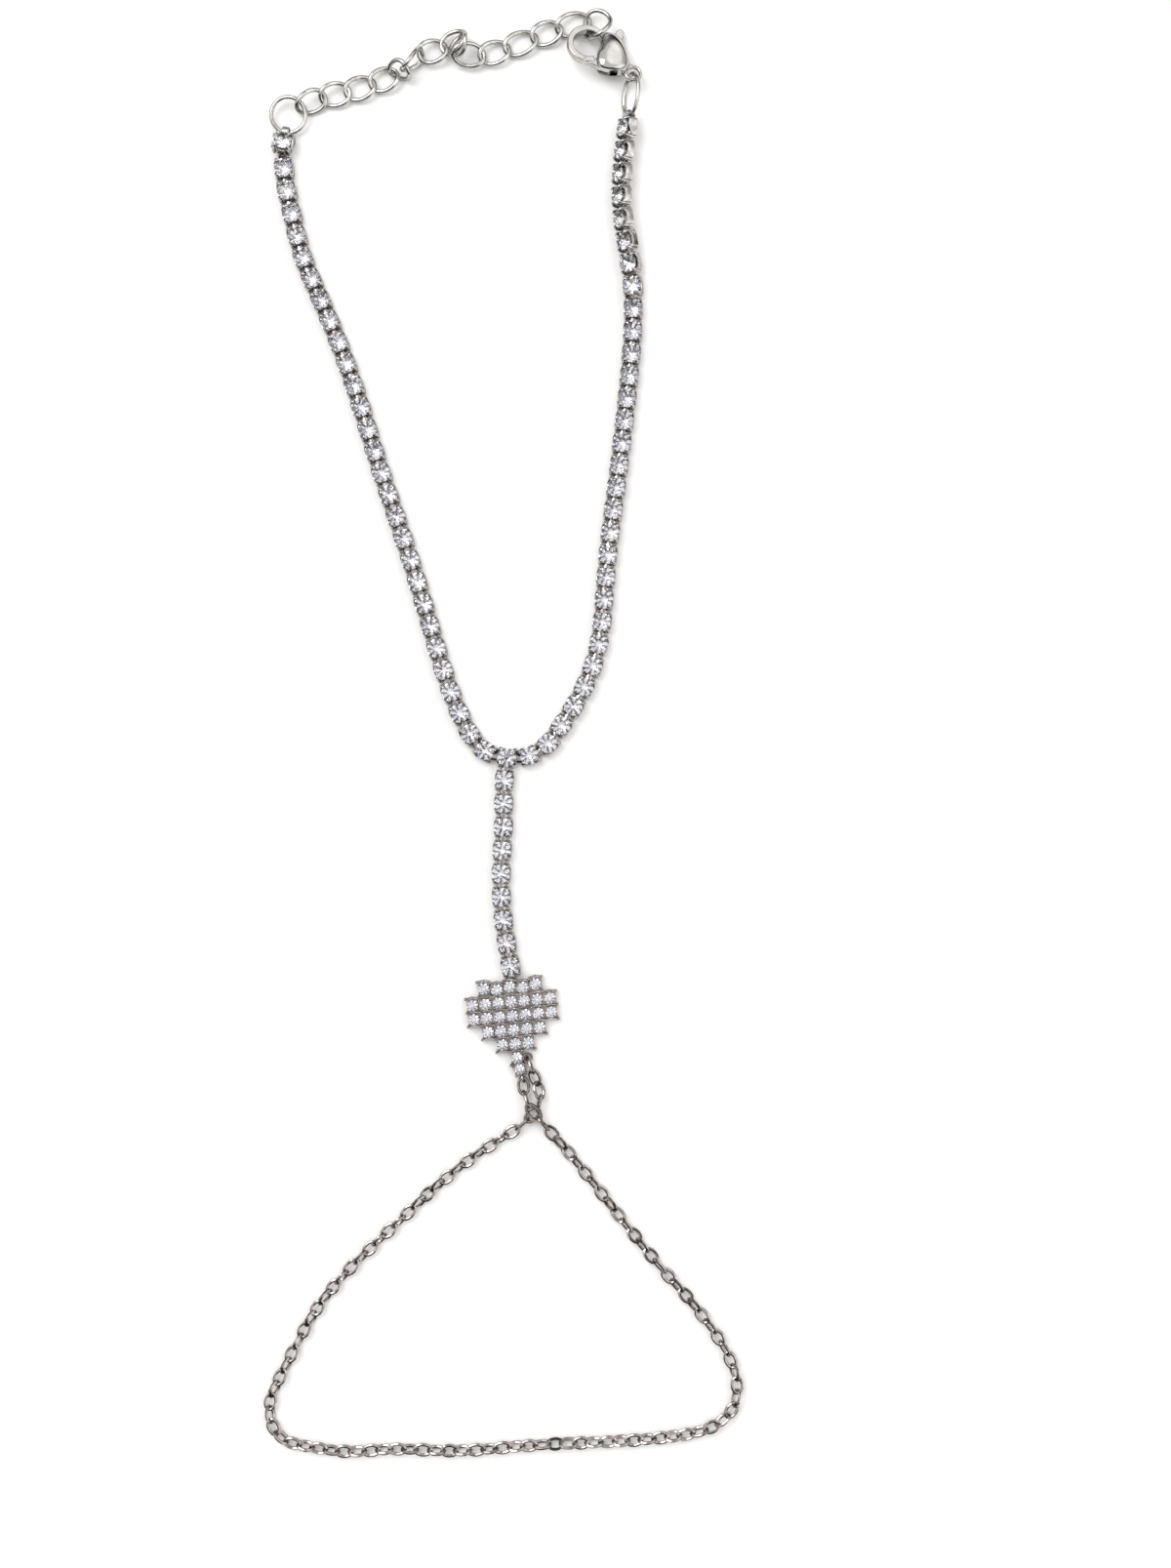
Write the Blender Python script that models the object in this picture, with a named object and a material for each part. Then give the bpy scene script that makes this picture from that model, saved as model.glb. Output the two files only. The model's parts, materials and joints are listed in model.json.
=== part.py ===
"""Hand chain bracelet: a wrist strand of claw-set stones, a drop strand, a pave heart and a finger chain.

It lies flat, wrist end at +Y, finger loop at -Y, stones up, as one would lay it on a table. The pieces
are shaped in millimetres, and each finished mesh is brought to metres.
"""
import math

import bmesh
import bpy
import numpy as np
from mathutils import Matrix, Vector

MM = 0.001
MERGE = 0.0002

# Cup chain: square claw cups joined by short bars
STONE_DIAMETER = 2.1
CUP_WIDTH = 2.35
CUP_LENGTH = 2.15
CUP_HEIGHT = 1.45
CROWN_HEIGHT = 0.38
TABLE_DIAMETER = 1.2
CLAW_RISE = 0.26
CLAW_LEAN = 0.12
CUP_PITCH = 2.75
BAR_WIDTH = 0.8
BAR_THICKNESS = 0.5
BAR_LIFT = 0.35
PIECE_GAP = 0.2

# The wrist strand's right end lies rolled over on its side
ROLL_ANGLE = 60.0
ROLL_STARTS = 23.0
ROLL_FULL = 10.0

# End cups, each with a folded strap loop for its jump ring and two pointed side tabs
STRAP_THICKNESS = 0.22
STRAP_WIDTH = 0.85
STRAP_HOLE_RADIUS = 0.5
STRAP_REACH = 0.44
TAB_THICKNESS = 0.16
TAB_POINT = 1.2
TAB_MARGIN = 0.12
LEFT_CUP_YAW = -12.0
LEFT_CUP_DIP = 18.0

# Jump rings
RING_WIRE = 0.5
LEFT_RING_DIAMETER = 4.7
LEFT_RING_RISE = 9.0
RIGHT_RING_LENGTH = 5.5
RIGHT_RING_WIDTH = 3.8
RIGHT_RING_TILT = 60.0
RIGHT_RING_HEADING = 85.0

# Extender of twisted oval links, and the round end link that the clasp's hook holds
EXTENDER_WIRE = 0.5
EXTENDER_WIDTH = 3.2
EXTENDER_TWIST = 0.25
EXTENDER_START = -46.0
END_LINK_DIAMETER = 4.0
END_LINK_SLACK = 0.15
END_LINK_TWIST = -0.42
END_LINK_ROLL = -32.0
END_LINK_LIFT = 0.14
END_LINK_AT = -80.0
END_LINK_JOINT = 85.0

# Finger chain of fine oval cable links
CHAIN_WIRE = 0.33
CHAIN_WIDTH = 1.65
LINK_BITE = 0.2

# Pave heart: rows of cells, five to seven across and down to one, then a tilted tip cup.
# Its top edge is so many rows above its own origin.
HEART_COLUMN = 1.575
HEART_ROW = 1.70
HEART_TOP = 2.5
HEART_TURN = 5.6
HEART_BASE = 1.1
HEART_STONE = 1.36
HEART_TABLE = 0.78
HEART_CROWN = 0.3
PRONG_SIZE = 0.34
PRONG_RISE = 0.26
STONE_LIFT = 0.05
STONE_ROOT = 0.4
PRONG_ROOT = 0.4
PRONG_TOP_SHARE = 0.7
TIP_CUP_SIZE = 1.45
TIP_CUP_HEIGHT = 1.0
TIP_CUP_TURN = 14.0
TIP_CUP_OFFSET = 0.2
TIP_CUP_OVERLAP = 0.12
TIP_STONE_SHARE = 0.88
EYE_BITE = 0.1
SIDE_EYE_RISE = 0.7
EYE_RADIUS = 0.5
EYE_WIRE = 0.3

# Clasp: a hook ring, a body with two cheeks, an eye, and a lever on a pin between the cheeks
HOOK_RADIUS = 2.15
HOOK_BAND = 0.72
HOOK_HEIGHT = 1.0
HOOK_TIP = 108.0
HOOK_ROOT = -135.0
HOOK_STEPS = 19
CLASP_THICKNESS = 2.5
CLASP_BEVEL = 0.3
CLASP_BEVEL_STEPS = 2
EYE_REACH = 6.45
EYE_OUTER_RADIUS = 1.12
EYE_HOLE_RADIUS = 0.76
EYE_THICKNESS = 0.6
LEVER_THICKNESS = 0.85
LEVER_CLEARANCE = 0.12
PIN_RADIUS = 0.3
PIN_CLEARANCE = 0.08
PIVOT = (-3.5, 1.1)
CLASP_HEADING = 147.5
CLASP_TILT = 18.0

# Angles in degrees past which an edge stays sharp, and past which the clasp's pad is rounded
FACET_ANGLE = 20.0
CLASP_ANGLE = 35.0
WIRE_ANGLE = 60.0
SHARP_ANGLE = 50.0

# Segments along a link and sides of its wire
LINK_STEPS = 10
CHAIN_STEPS = 10
LINK_PHASE = 0.2
RING_STEPS = 16
WIRE_SIDES = 6
CHAIN_SIDES = 5
STONE_SIDES = 8
TUBE_POINTS = 47

# Routes seen from above, chosen points in millimetres
LEFT_ROUTE = [(-26.6, 71.0), (-26.4, 67.0), (-25.6, 63.0), (-24.3, 57.8), (-22.2, 52.7), (-18.2, 42.5),
              (-14.9, 32.0), (-11.4, 21.5), (-8.1, 10.5), (-6.2, 4.6), (-4.2, 0.2), (-2.3, -2.2),
              (0.5, -3.1)]
RIGHT_ROUTE = [(0.5, -3.1), (3.1, -2.9), (5.3, -1.6), (7.0, 0.6), (9.9, 5.5), (11.3, 9.3), (12.5, 18.9),
               (13.8, 30.0), (15.1, 40.9), (15.8, 51.7), (15.4, 57.2), (14.6, 62.3), (14.5, 67.5),
               (15.1, 72.9)]
DROP_ROUTE = [(0.5, -3.1), (0.2, -5.8), (0.1, -10.8), (-0.2, -18.0), (0.1, -23.0), (0.95, -28.4)]
HEART_PLACE = (1.2, -34.4)
EXTENDER_JOINTS = [(-21.8, 76.9, 0.9), (-18.8, 77.5, 0.65), (-15.8, 78.5, 0.65), (-13.0, 79.6, 0.7),
                   (-11.8, 80.1, 2.5), (-9.9, 82.0, 0.95), (-7.1, 82.8, 0.8), (-4.7, 84.0, 1.9),
                   (-5.7, 82.0, 1.5), (-2.5, 81.8, 0.8), (0.5, 82.8, 0.65), (3.8, 84.1, 0.65),
                   (6.8, 85.2, 0.7)]
EXTENDER_ROLLS = (36.0, 14.0, 0.0, 0.0, 35.0, 80.0, 0.0, -20.0, 50.0, 15.0, 0.0, 0.0, 4.0, 9.0)
RIGHT_LEAD = [(2.6, -43.7, 0.9), (3.1, -45.2, 1.6), (4.4, -46.8, 1.6), (5.35, -48.0, 0.83)]
LEFT_LEAD = [(3.65, -41.1, 1.05), (4.2, -42.6, 0.9), (4.6, -44.2, 1.2), (4.2, -45.8, 0.5),
             (2.95, -47.0, 0.75), (1.8, -48.0, 0.9)]
FINGER_ROUTE = [(9.2, -52.4), (17.9, -63.4), (26.0, -73.2), (28.4, -79.0), (28.0, -81.8), (25.8, -84.0),
                (21.1, -85.3), (16.3, -85.8), (2.8, -86.5), (-7.2, -87.1), (-13.7, -86.9), (-19.0, -87.2),
                (-24.0, -86.5), (-26.7, -85.7), (-28.0, -83.8), (-28.2, -81.2), (-26.9, -78.0),
                (-21.7, -68.7), (-18.6, -65.1), (-11.0, -57.8), (-6.0, -53.3)]
RIGHT_LEAD_ROLLS = (0.0, 90.0, 0.0, 90.0)
LEFT_LEAD_ROLLS = (90.0, 25.0, -35.0, -95.0, -175.0, -265.0)

# Heart rows from the top, as (cells across), and how far each column of the top row steps up
HEART_ROWS = (5, 7, 7, 5, 3, 1)
TOP_STEPS = {-2: 0.2, -1: -0.12, 0: 0.12, 1: -0.12, 2: 0.2}

METAL = ("rhodium", (0.80, 0.80, 0.81), 0.16, 1.0)
STONE = ("clear_stone", (0.93, 0.95, 0.97), 0.03, 0.0)


def unit(v):
    """The vector v at length one."""
    v = np.asarray(v, float)
    return v / np.linalg.norm(v)


def smooth(points, per_span=40):
    """A dense natural cubic spline through the points, spaced by the chord between them."""
    p = np.array(points, float)
    knots = np.concatenate([[0.0], np.cumsum(np.linalg.norm(np.diff(p, axis=0), axis=1))])
    h = np.diff(knots)
    n = len(p)
    system = np.eye(n)
    right = np.zeros_like(p)
    for i in range(1, n - 1):
        system[i, i - 1:i + 2] = h[i - 1], 2.0 * (h[i - 1] + h[i]), h[i]
        right[i] = 6.0 * ((p[i + 1] - p[i]) / h[i] - (p[i] - p[i - 1]) / h[i - 1])
    bend = np.linalg.solve(system, right)
    dense = []
    for i in range(n - 1):
        t = np.linspace(0.0, 1.0, per_span, endpoint=i == n - 2)[:, None]
        a, b = 1.0 - t, t
        dense.append(a * p[i] + b * p[i + 1]
                     + h[i] ** 2 / 6.0 * ((a ** 3 - a) * bend[i] + (b ** 3 - b) * bend[i + 1]))
    return np.vstack(dense)


def measure(curve):
    """Distance along the curve at each of its points."""
    return np.concatenate([[0.0], np.cumsum(np.linalg.norm(np.diff(curve, axis=0), axis=1))])


def along_curve(curve, at):
    """Points of the curve at the distances given."""
    s = measure(curve)
    return np.column_stack([np.interp(at, s, curve[:, k]) for k in range(curve.shape[1])])


def stations(curve, pitch):
    """Evenly spaced points, as near to the pitch as a whole number of steps allows, ends included."""
    length = measure(curve)[-1]
    count = max(2, round(length / pitch))
    return along_curve(curve, np.linspace(0.0, length, count + 1))


def frame(origin, along, roll=0.0, dip=0.0):
    """Axes of a piece: x along, y to its left, z up, then rolled about x and dipped nose down."""
    x = unit(along)
    y = unit(np.cross((0.0, 0.0, 1.0), x))
    z = np.cross(x, y)
    turn = Matrix.Rotation(math.radians(dip), 3, Vector(y))
    x, z = np.array(turn @ Vector(x)), np.array(turn @ Vector(z))
    turn = Matrix.Rotation(math.radians(roll), 3, Vector(x))
    y, z = np.array(turn @ Vector(y)), np.array(turn @ Vector(z))
    place = np.eye(4)
    place[:3, 0], place[:3, 1], place[:3, 2], place[:3, 3] = x, y, z, origin
    return place


def put(place, points):
    """Points of a piece's own frame in the common frame."""
    points = np.asarray(points, float)
    return points @ place[:3, :3].T + place[:3, 3]


def material(kind):
    """A plain Principled material of the given finish, made once."""
    name, colour, roughness, metallic = kind
    found = bpy.data.materials.get(name)
    if found:
        return found
    made = bpy.data.materials.new(name)
    made.use_nodes = True
    made.diffuse_color = (*colour, 1.0)
    shader = made.node_tree.nodes["Principled BSDF"]
    shader.inputs["Base Color"].default_value = (*colour, 1.0)
    shader.inputs["Roughness"].default_value = roughness
    shader.inputs["Metallic"].default_value = metallic
    return made


def new_object(name, bm, kinds=(METAL,)):
    """An object from a bmesh, with its faces turned outwards."""
    bmesh.ops.recalc_face_normals(bm, faces=bm.faces)
    mesh = bpy.data.meshes.new(name)
    bm.to_mesh(mesh)
    bm.free()
    made = bpy.data.objects.new(name, mesh)
    bpy.context.collection.objects.link(made)
    for kind in kinds:
        mesh.materials.append(material(kind))
    return made


def combine(target, other, operation="UNION"):
    """Join or cut two closed objects, and keep the result in the first."""
    step = target.modifiers.new("step", "BOOLEAN")
    step.operation = operation
    step.solver = "EXACT"
    step.material_mode = "TRANSFER"
    step.object = other
    ready = target.evaluated_get(bpy.context.evaluated_depsgraph_get())
    mesh = bpy.data.meshes.new_from_object(ready)
    target.modifiers.clear()
    target.data = mesh
    bpy.data.objects.remove(other)
    return target


def finish(piece, smooth_angle):
    """Bring a finished piece to metres, round its soft edges and drop what a join left loose."""
    bm = bmesh.new()
    bm.from_mesh(piece.data)
    bmesh.ops.remove_doubles(bm, verts=bm.verts, dist=MERGE)
    bmesh.ops.dissolve_degenerate(bm, edges=bm.edges, dist=MERGE)
    bmesh.ops.triangulate(bm, faces=bm.faces)
    bm.to_mesh(piece.data)
    bm.free()
    piece.data.transform(Matrix.Scale(MM, 4))
    piece.data.shade_smooth()
    piece.data.set_sharp_from_angle(angle=math.radians(smooth_angle))
    return piece


def tube_faces(bm, rings, closed):
    """Skin rows of section points with quads, and cap the ends of an open run."""
    rows = [[bm.verts.new(p) for p in ring] for ring in rings]
    pairs = list(zip(rows, rows[1:] + rows[:1])) if closed else list(zip(rows, rows[1:]))
    for one, two in pairs:
        for i in range(len(one)):
            j = (i + 1) % len(one)
            bm.faces.new((one[i], one[j], two[j], two[i]))
    if not closed:
        bm.faces.new(rows[0])
        bm.faces.new(rows[-1])


def wire_loop(bm, points, up, radius, sides):
    """A closed wire along the points: round sections square to it, set out from the loop's normal."""
    points = np.asarray(points, float)
    along = np.roll(points, -1, axis=0) - np.roll(points, 1, axis=0)
    along /= np.linalg.norm(along, axis=1)[:, None]
    out = np.cross(along, np.asarray(up, float))
    out /= np.linalg.norm(out, axis=1)[:, None]
    over = np.cross(out, along)
    angle = (np.arange(sides) + 0.5) * 2.0 * math.pi / sides
    rings = (points[:, None] + radius * np.cos(angle)[None, :, None] * out[:, None]
             + radius * np.sin(angle)[None, :, None] * over[:, None])
    tube_faces(bm, rings, True)


def oval(half_length, half_width, steps, twist=0.0):
    """Centreline of an oval link, x = a cos t, y = b sin t, with its ends turned over by z = c sin 2t."""
    t = (np.arange(steps) + LINK_PHASE) * 2.0 * math.pi / steps
    return np.column_stack([half_length * np.cos(t), half_width * np.sin(t), -twist * np.sin(2.0 * t)])


def hook_in(wire):
    """How far past a joint a link's centreline reaches, so that neighbours just bite."""
    return wire * 0.5 * (1.0 - LINK_BITE)


def link(name, start, end, wire, width, roll, steps, sides, twist=0.0):
    """One link between two joints, its ends hooked past each."""
    start, end = np.asarray(start, float), np.asarray(end, float)
    place = frame((start + end) / 2.0, end - start, roll)
    half = np.linalg.norm(end - start) / 2.0 + hook_in(wire)
    points = put(place, oval(half, (width - wire) / 2.0, steps, twist))
    bm = bmesh.new()
    wire_loop(bm, points, place[:3, 2], wire / 2.0, sides)
    return new_object(name, bm)


def chain(name, joints, wire, width, rolls, steps, sides, twist=0.0):
    """Links through the joints, joined one after another into one body."""
    whole = None
    for start, end, roll in zip(joints, joints[1:], rolls):
        one = link(name, start, end, wire, width, roll, steps, sides, twist)
        whole = combine(whole, one) if whole else one
    return whole


SIDES = ("ahead", "left", "behind", "right")


def port_points(place, side, off=0.0):
    """The four corners where a bar meets a cup's side wall, or that far off it."""
    quarter = SIDES.index(side)
    reach = (CUP_WIDTH if quarter % 2 else CUP_LENGTH) / 2.0 + off
    turn = Matrix.Rotation(quarter * math.pi / 2.0, 3, "Z")
    low, high = BAR_LIFT, BAR_LIFT + BAR_THICKNESS
    corners = [(-1, low), (1, low), (1, high), (-1, high)]
    return put(place, [turn @ Vector((reach, across * BAR_WIDTH / 2.0, z)) for across, z in corners])


class Cup:
    """One claw cup with its stone, drawn straight into a bmesh as a closed skin.

    Its own frame has x along the chain, y across, z up from its base. A side named in ports is left
    open by the size of a bar, so that a bar can be drawn on from it.
    """

    def __init__(self, bm, place, ports=()):
        self.bm, self.place, self.ports = bm, place, {}
        half = np.array([CUP_LENGTH, CUP_WIDTH]) / 2.0
        corner = np.array([(1, -1), (1, 1), (-1, 1), (-1, -1)]) * half
        angle = (np.arange(STONE_SIDES) + 0.5) * 2.0 * math.pi / STONE_SIDES
        circle = np.column_stack([np.cos(angle), np.sin(angle)])
        base = self.points(corner, 0.0)
        rim = self.points(corner, CUP_HEIGHT)
        girdle = self.points(circle * STONE_DIAMETER / 2.0, CUP_HEIGHT)
        table = self.points(circle * TABLE_DIAMETER / 2.0, CUP_HEIGHT + CROWN_HEIGHT)
        bm.faces.new(base)
        for start, side in enumerate(SIDES):
            end = (start + 1) % 4
            self.wall(side, base[start], base[end], rim[end], rim[start], side in ports)
            bm.faces.new((rim[start], rim[end], girdle[2 * start], girdle[2 * start - 1]))
            self.claw(rim[end], girdle[2 * end - 1], girdle[2 * start])
        stone = [bm.faces.new((girdle[i - 1], girdle[i], table[i], table[i - 1]))
                 for i in range(STONE_SIDES)]
        stone.append(bm.faces.new(table))
        for face in stone:
            face.material_index = 1

    def points(self, flat, height):
        """New vertices at a height above the base."""
        flat = np.asarray(flat, float)
        raised = np.column_stack([flat, np.full(len(flat), height)])
        return [self.bm.verts.new(p) for p in put(self.place, raised)]

    def wall(self, side, low_a, low_b, high_b, high_a, port):
        """A side wall, whole or with the opening that a bar grows from."""
        if not port:
            self.bm.faces.new((low_a, low_b, high_b, high_a))
            return
        square = [self.bm.verts.new(p) for p in port_points(self.place, side)]
        outer = (low_a, low_b, high_b, high_a)
        for i in range(4):
            j = (i + 1) % 4
            self.bm.faces.new((outer[i], outer[j], square[j], square[i]))
        self.ports[side] = square

    def claw(self, corner, one, two):
        """A three-sided claw on a corner of the rim, leaning in over the stone."""
        up = Vector(self.place[:3, 2])
        centre = Vector(put(self.place, (0.0, 0.0, CUP_HEIGHT)))
        foot = (corner, one, two)
        top = [self.bm.verts.new(v.co + (centre - v.co) * CLAW_LEAN + up * CLAW_RISE) for v in foot]
        for i in range(3):
            j = (i + 1) % 3
            self.bm.faces.new((foot[i], foot[j], top[j], top[i]))
        self.bm.faces.new(top)

    def bridge(self, side, other, other_side):
        """A bar from this cup's port to another cup's."""
        self.bar(side, other.ports[other_side])

    def bar(self, side, far):
        """The four faces of a bar between this cup's port and four vertices that face it."""
        mine = self.ports[side]
        far = [far[1], far[0], far[3], far[2]]
        for i in range(4):
            j = (i + 1) % 4
            self.bm.faces.new((mine[i], mine[j], far[j], far[i]))

    def stub(self, side, other, other_side):
        """A bar end that stops a piece gap short of the wall of the cup at another frame."""
        far = [self.bm.verts.new(p) for p in port_points(other, other_side, PIECE_GAP)]
        self.bar(side, far)
        self.bm.faces.new(far)


def cup_middle(roll):
    """Height of a lying cup's middle when it is rolled by an angle and rests on its lowest edge."""
    roll = math.radians(abs(roll))
    return CUP_HEIGHT / 2.0 * math.cos(roll) + CUP_WIDTH / 2.0 * math.sin(roll)


def cup_frames(curve_stations, rolls):
    """A frame at each station, on the cup's base, from the stations' own direction."""
    ahead = np.vstack([curve_stations[1:], 2 * curve_stations[-1] - curve_stations[-2]])
    back = np.vstack([2 * curve_stations[0] - curve_stations[1], curve_stations[:-1]])
    frames = []
    for point, direction, roll in zip(curve_stations, ahead - back, rolls):
        place = frame((*point, cup_middle(roll)), (*direction, 0.0), roll)
        place[:3, 3] -= place[:3, 2] * CUP_HEIGHT / 2.0
        frames.append(place)
    return frames


def strand(name, frames, before, before_side, after, after_side):
    """A run of cups joined by bars, with a bar end reaching towards the cups before and after."""
    bm = bmesh.new()
    cups = [Cup(bm, place, ("behind", "ahead")) for place in frames]
    for one, two in zip(cups, cups[1:]):
        one.bridge("ahead", two, "behind")
    cups[0].stub("behind", before, before_side)
    cups[-1].stub("ahead", after, after_side)
    return finish(new_object(name, bm, (METAL, STONE)), FACET_ANGLE)


def end_cup(name, place):
    """A cup whose strap folds round into a loop ahead of it, with a pointed tab down each side."""
    bm = bmesh.new()
    Cup(bm, np.eye(4))
    cup = new_object(name, bm, (METAL, STONE))
    outer = STRAP_HOLE_RADIUS + STRAP_THICKNESS
    half = STRAP_WIDTH / 2.0
    loop = bmesh.new()
    rings = []
    for i in range(CHAIN_STEPS):
        angle = i * 2.0 * math.pi / CHAIN_STEPS
        section = [(r * math.cos(angle), y, r * math.sin(angle))
                   for r, y in ((STRAP_HOLE_RADIUS, -half), (outer, -half), (outer, half),
                                (STRAP_HOLE_RADIUS, half))]
        rings.append(np.array(section) + strap_middle())
    tube_faces(loop, rings, True)
    combine(cup, new_object("loop", loop))
    low, high = TAB_MARGIN, CUP_HEIGHT - TAB_MARGIN
    ahead, behind = CUP_LENGTH / 2.0 - TAB_MARGIN, TAB_MARGIN - CUP_LENGTH / 2.0
    outline = [(ahead, low), (ahead, high), (behind + TAB_POINT, high), (behind, (low + high) / 2.0),
               (behind + TAB_POINT, low)]
    for side in (-1.0, 1.0):
        tab = bmesh.new()
        inner = side * (CUP_WIDTH / 2.0 - TAB_THICKNESS)
        out = side * (CUP_WIDTH / 2.0 + TAB_THICKNESS)
        tube_faces(tab, [[(x, y, z) for x, z in outline] for y in (inner, out)], False)
        combine(cup, new_object("tab", tab))
    cup.data.transform(Matrix(place.tolist()))
    return finish(cup, FACET_ANGLE)


def strap_middle():
    """Middle of an end cup's strap loop in the cup's own frame."""
    return np.array([CUP_LENGTH / 2.0 + STRAP_REACH, 0.0, STRAP_HOLE_RADIUS + STRAP_THICKNESS])


def prism(outline, low, high):
    """A bmesh of a flat outline carried between two heights."""
    bm = bmesh.new()
    tube_faces(bm, [[(x, y, z) for x, y in outline] for z in (low, high)], False)
    return bm


def round_edges(piece, width, segments):
    """Round the edges of the piece that turn through more than the sharp angle."""
    soft = piece.modifiers.new("round", "BEVEL")
    soft.width = width
    soft.segments = segments
    soft.limit_method = "ANGLE"
    soft.angle_limit = math.radians(SHARP_ANGLE)
    ready = piece.evaluated_get(bpy.context.evaluated_depsgraph_get())
    mesh = bpy.data.meshes.new_from_object(ready)
    piece.modifiers.clear()
    piece.data = mesh
    return piece


def heart_frame():
    """The heart's own frame: x along its rows, y towards the drop strand, z up."""
    angle = math.radians(HEART_TURN)
    return frame((*HEART_PLACE, 0.0), (math.cos(angle), math.sin(angle), 0.0))


def heart_cells():
    """Middle of every cell in the heart's own frame, row by row from the top."""
    cells = []
    for row, count in enumerate(HEART_ROWS):
        half = (count - 1) // 2
        for column in range(-half, half + 1):
            step = TOP_STEPS[column] if row == 0 else 0.0
            cells.append((column * HEART_COLUMN, (HEART_TOP - 0.5 - row) * HEART_ROW + step))
    return cells


def heart_outline():
    """The heart's stepped outline: out along each row's right side, down, and back up the left."""
    right = []
    for column in (0, 1, 2):
        top = HEART_TOP * HEART_ROW + TOP_STEPS[column]
        right += [((column - 0.5) * HEART_COLUMN, top), ((column + 0.5) * HEART_COLUMN, top)]
    right = right[1:]
    for row in range(1, len(HEART_ROWS)):
        edge = (HEART_TOP - row) * HEART_ROW
        right += [(count / 2.0 * HEART_COLUMN, edge) for count in HEART_ROWS[row - 1:row + 1]]
    right.append((HEART_ROWS[-1] / 2.0 * HEART_COLUMN, (HEART_TOP - len(HEART_ROWS)) * HEART_ROW))
    clean = [right[0]]
    clean += [point for before, point in zip(right, right[1:]) if math.dist(before, point) > MERGE]
    return clean + [(-x, y) for x, y in reversed(clean)]


def set_stone(bm, place, girdle, share=1.0):
    """A cut stone: eight crown facets up to a flat table, and a straight root sunk in the metal."""
    angle = (np.arange(STONE_SIDES) + 0.5) * 2.0 * math.pi / STONE_SIDES
    circle = share * np.column_stack([np.cos(angle), np.sin(angle)])
    widths = HEART_STONE / 2.0, HEART_STONE / 2.0, HEART_TABLE / 2.0
    heights = girdle - STONE_ROOT, girdle, girdle + HEART_CROWN * share
    rings = [put(place, np.column_stack([circle * r, np.full(STONE_SIDES, z)]))
             for r, z in zip(widths, heights)]
    tube_faces(bm, rings, False)


def post(bm, middle):
    """A square prong, drawn in a little towards its top."""
    square = np.array([(-1, -1), (1, -1), (1, 1), (-1, 1)]) * PRONG_SIZE / 2.0
    rings = [np.column_stack([square * share + middle, np.full(4, z)])
             for share, z in ((1.0, HEART_BASE - PRONG_ROOT), (PRONG_TOP_SHARE, HEART_BASE + PRONG_RISE))]
    tube_faces(bm, rings, False)


def round_wire(name, middle, first, second):
    """A round eye of fine wire about a middle, in the plane of two directions."""
    t = np.arange(CHAIN_STEPS)[:, None] * 2.0 * math.pi / CHAIN_STEPS
    points = middle + EYE_RADIUS * (np.cos(t) * first + np.sin(t) * second)
    bm = bmesh.new()
    wire_loop(bm, points, np.cross(first, second), EYE_WIRE / 2.0, CHAIN_SIDES)
    return new_object(name, bm)


def tip_frame():
    """The tip cup's frame inside the heart's own."""
    low = (HEART_TOP - len(HEART_ROWS)) * HEART_ROW
    angle = math.radians(TIP_CUP_TURN)
    middle = (TIP_CUP_OFFSET, low - TIP_CUP_SIZE / 2.0 + TIP_CUP_OVERLAP, 0.0)
    return frame(middle, (math.cos(angle), math.sin(angle), 0.0))


def tip_eye():
    """Middle of the tip's eye in the heart's own frame."""
    place = tip_frame()
    return put(place, (0.0, EYE_BITE - TIP_CUP_SIZE / 2.0 - EYE_RADIUS, EYE_RADIUS + EYE_WIRE / 2.0))


def side_eye():
    """Middle of the flat eye beside the last cell, in the heart's own frame."""
    low = (HEART_TOP - len(HEART_ROWS)) * HEART_ROW
    return np.array([HEART_COLUMN / 2.0 + EYE_RADIUS, low + SIDE_EYE_RISE, HEART_BASE / 2.0])


def heart():
    """The pave plate with its stones and prongs, the tip cup and the two eyes, as one soldered body."""
    body = new_object("heart", prism(heart_outline(), 0.0, HEART_BASE))
    tip = tip_frame()
    half = TIP_CUP_SIZE / 2.0
    square = [(-half, -half), (half, -half), (half, half + EYE_BITE), (-half, half + EYE_BITE)]
    low = prism(square, 0.0, TIP_CUP_HEIGHT)
    bmesh.ops.transform(low, matrix=Matrix(tip.tolist()), verts=low.verts)
    combine(body, new_object("tip", low))
    corners = {}
    stones = bmesh.new()
    for x, y in heart_cells():
        set_stone(stones, frame((x, y, 0.0), (1.0, 0.0, 0.0)), HEART_BASE + STONE_LIFT)
        for i in (-0.5, 0.5):
            for j in (-0.5, 0.5):
                corner = (x + i * HEART_COLUMN, y + j * HEART_ROW)
                key = (round(corner[0] / HEART_COLUMN * 2), round(corner[1] / HEART_ROW * 2))
                corners.setdefault(key, []).append(corner)
    set_stone(stones, tip, TIP_CUP_HEIGHT + STONE_LIFT, TIP_STONE_SHARE)
    combine(body, new_object("stones", stones, (STONE,)))
    prongs = bmesh.new()
    for shared in corners.values():
        post(prongs, np.mean(shared, axis=0))
    combine(body, new_object("prongs", prongs))
    up = np.array([0.0, 0.0, 1.0])
    combine(body, round_wire("side_eye", side_eye(), np.array([1.0, 0.0, 0.0]), np.array([0.0, 1.0, 0.0])))
    combine(body, round_wire("tip_eye", tip_eye(), tip[:3, 1], up))
    body.data.transform(Matrix(heart_frame().tolist()))
    return finish(body, FACET_ANGLE)


def ring_piece(name, middle, long_axis, short_axis, half_length, half_width):
    """A round or oval jump ring from its middle, its two axes and its half sizes."""
    t = np.arange(RING_STEPS) * 2.0 * math.pi / RING_STEPS
    points = (middle + half_length * np.cos(t)[:, None] * long_axis
              + half_width * np.sin(t)[:, None] * short_axis)
    bm = bmesh.new()
    wire_loop(bm, points, np.cross(long_axis, short_axis), RING_WIRE / 2.0, WIRE_SIDES)
    return finish(new_object(name, bm), WIRE_ANGLE)


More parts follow.
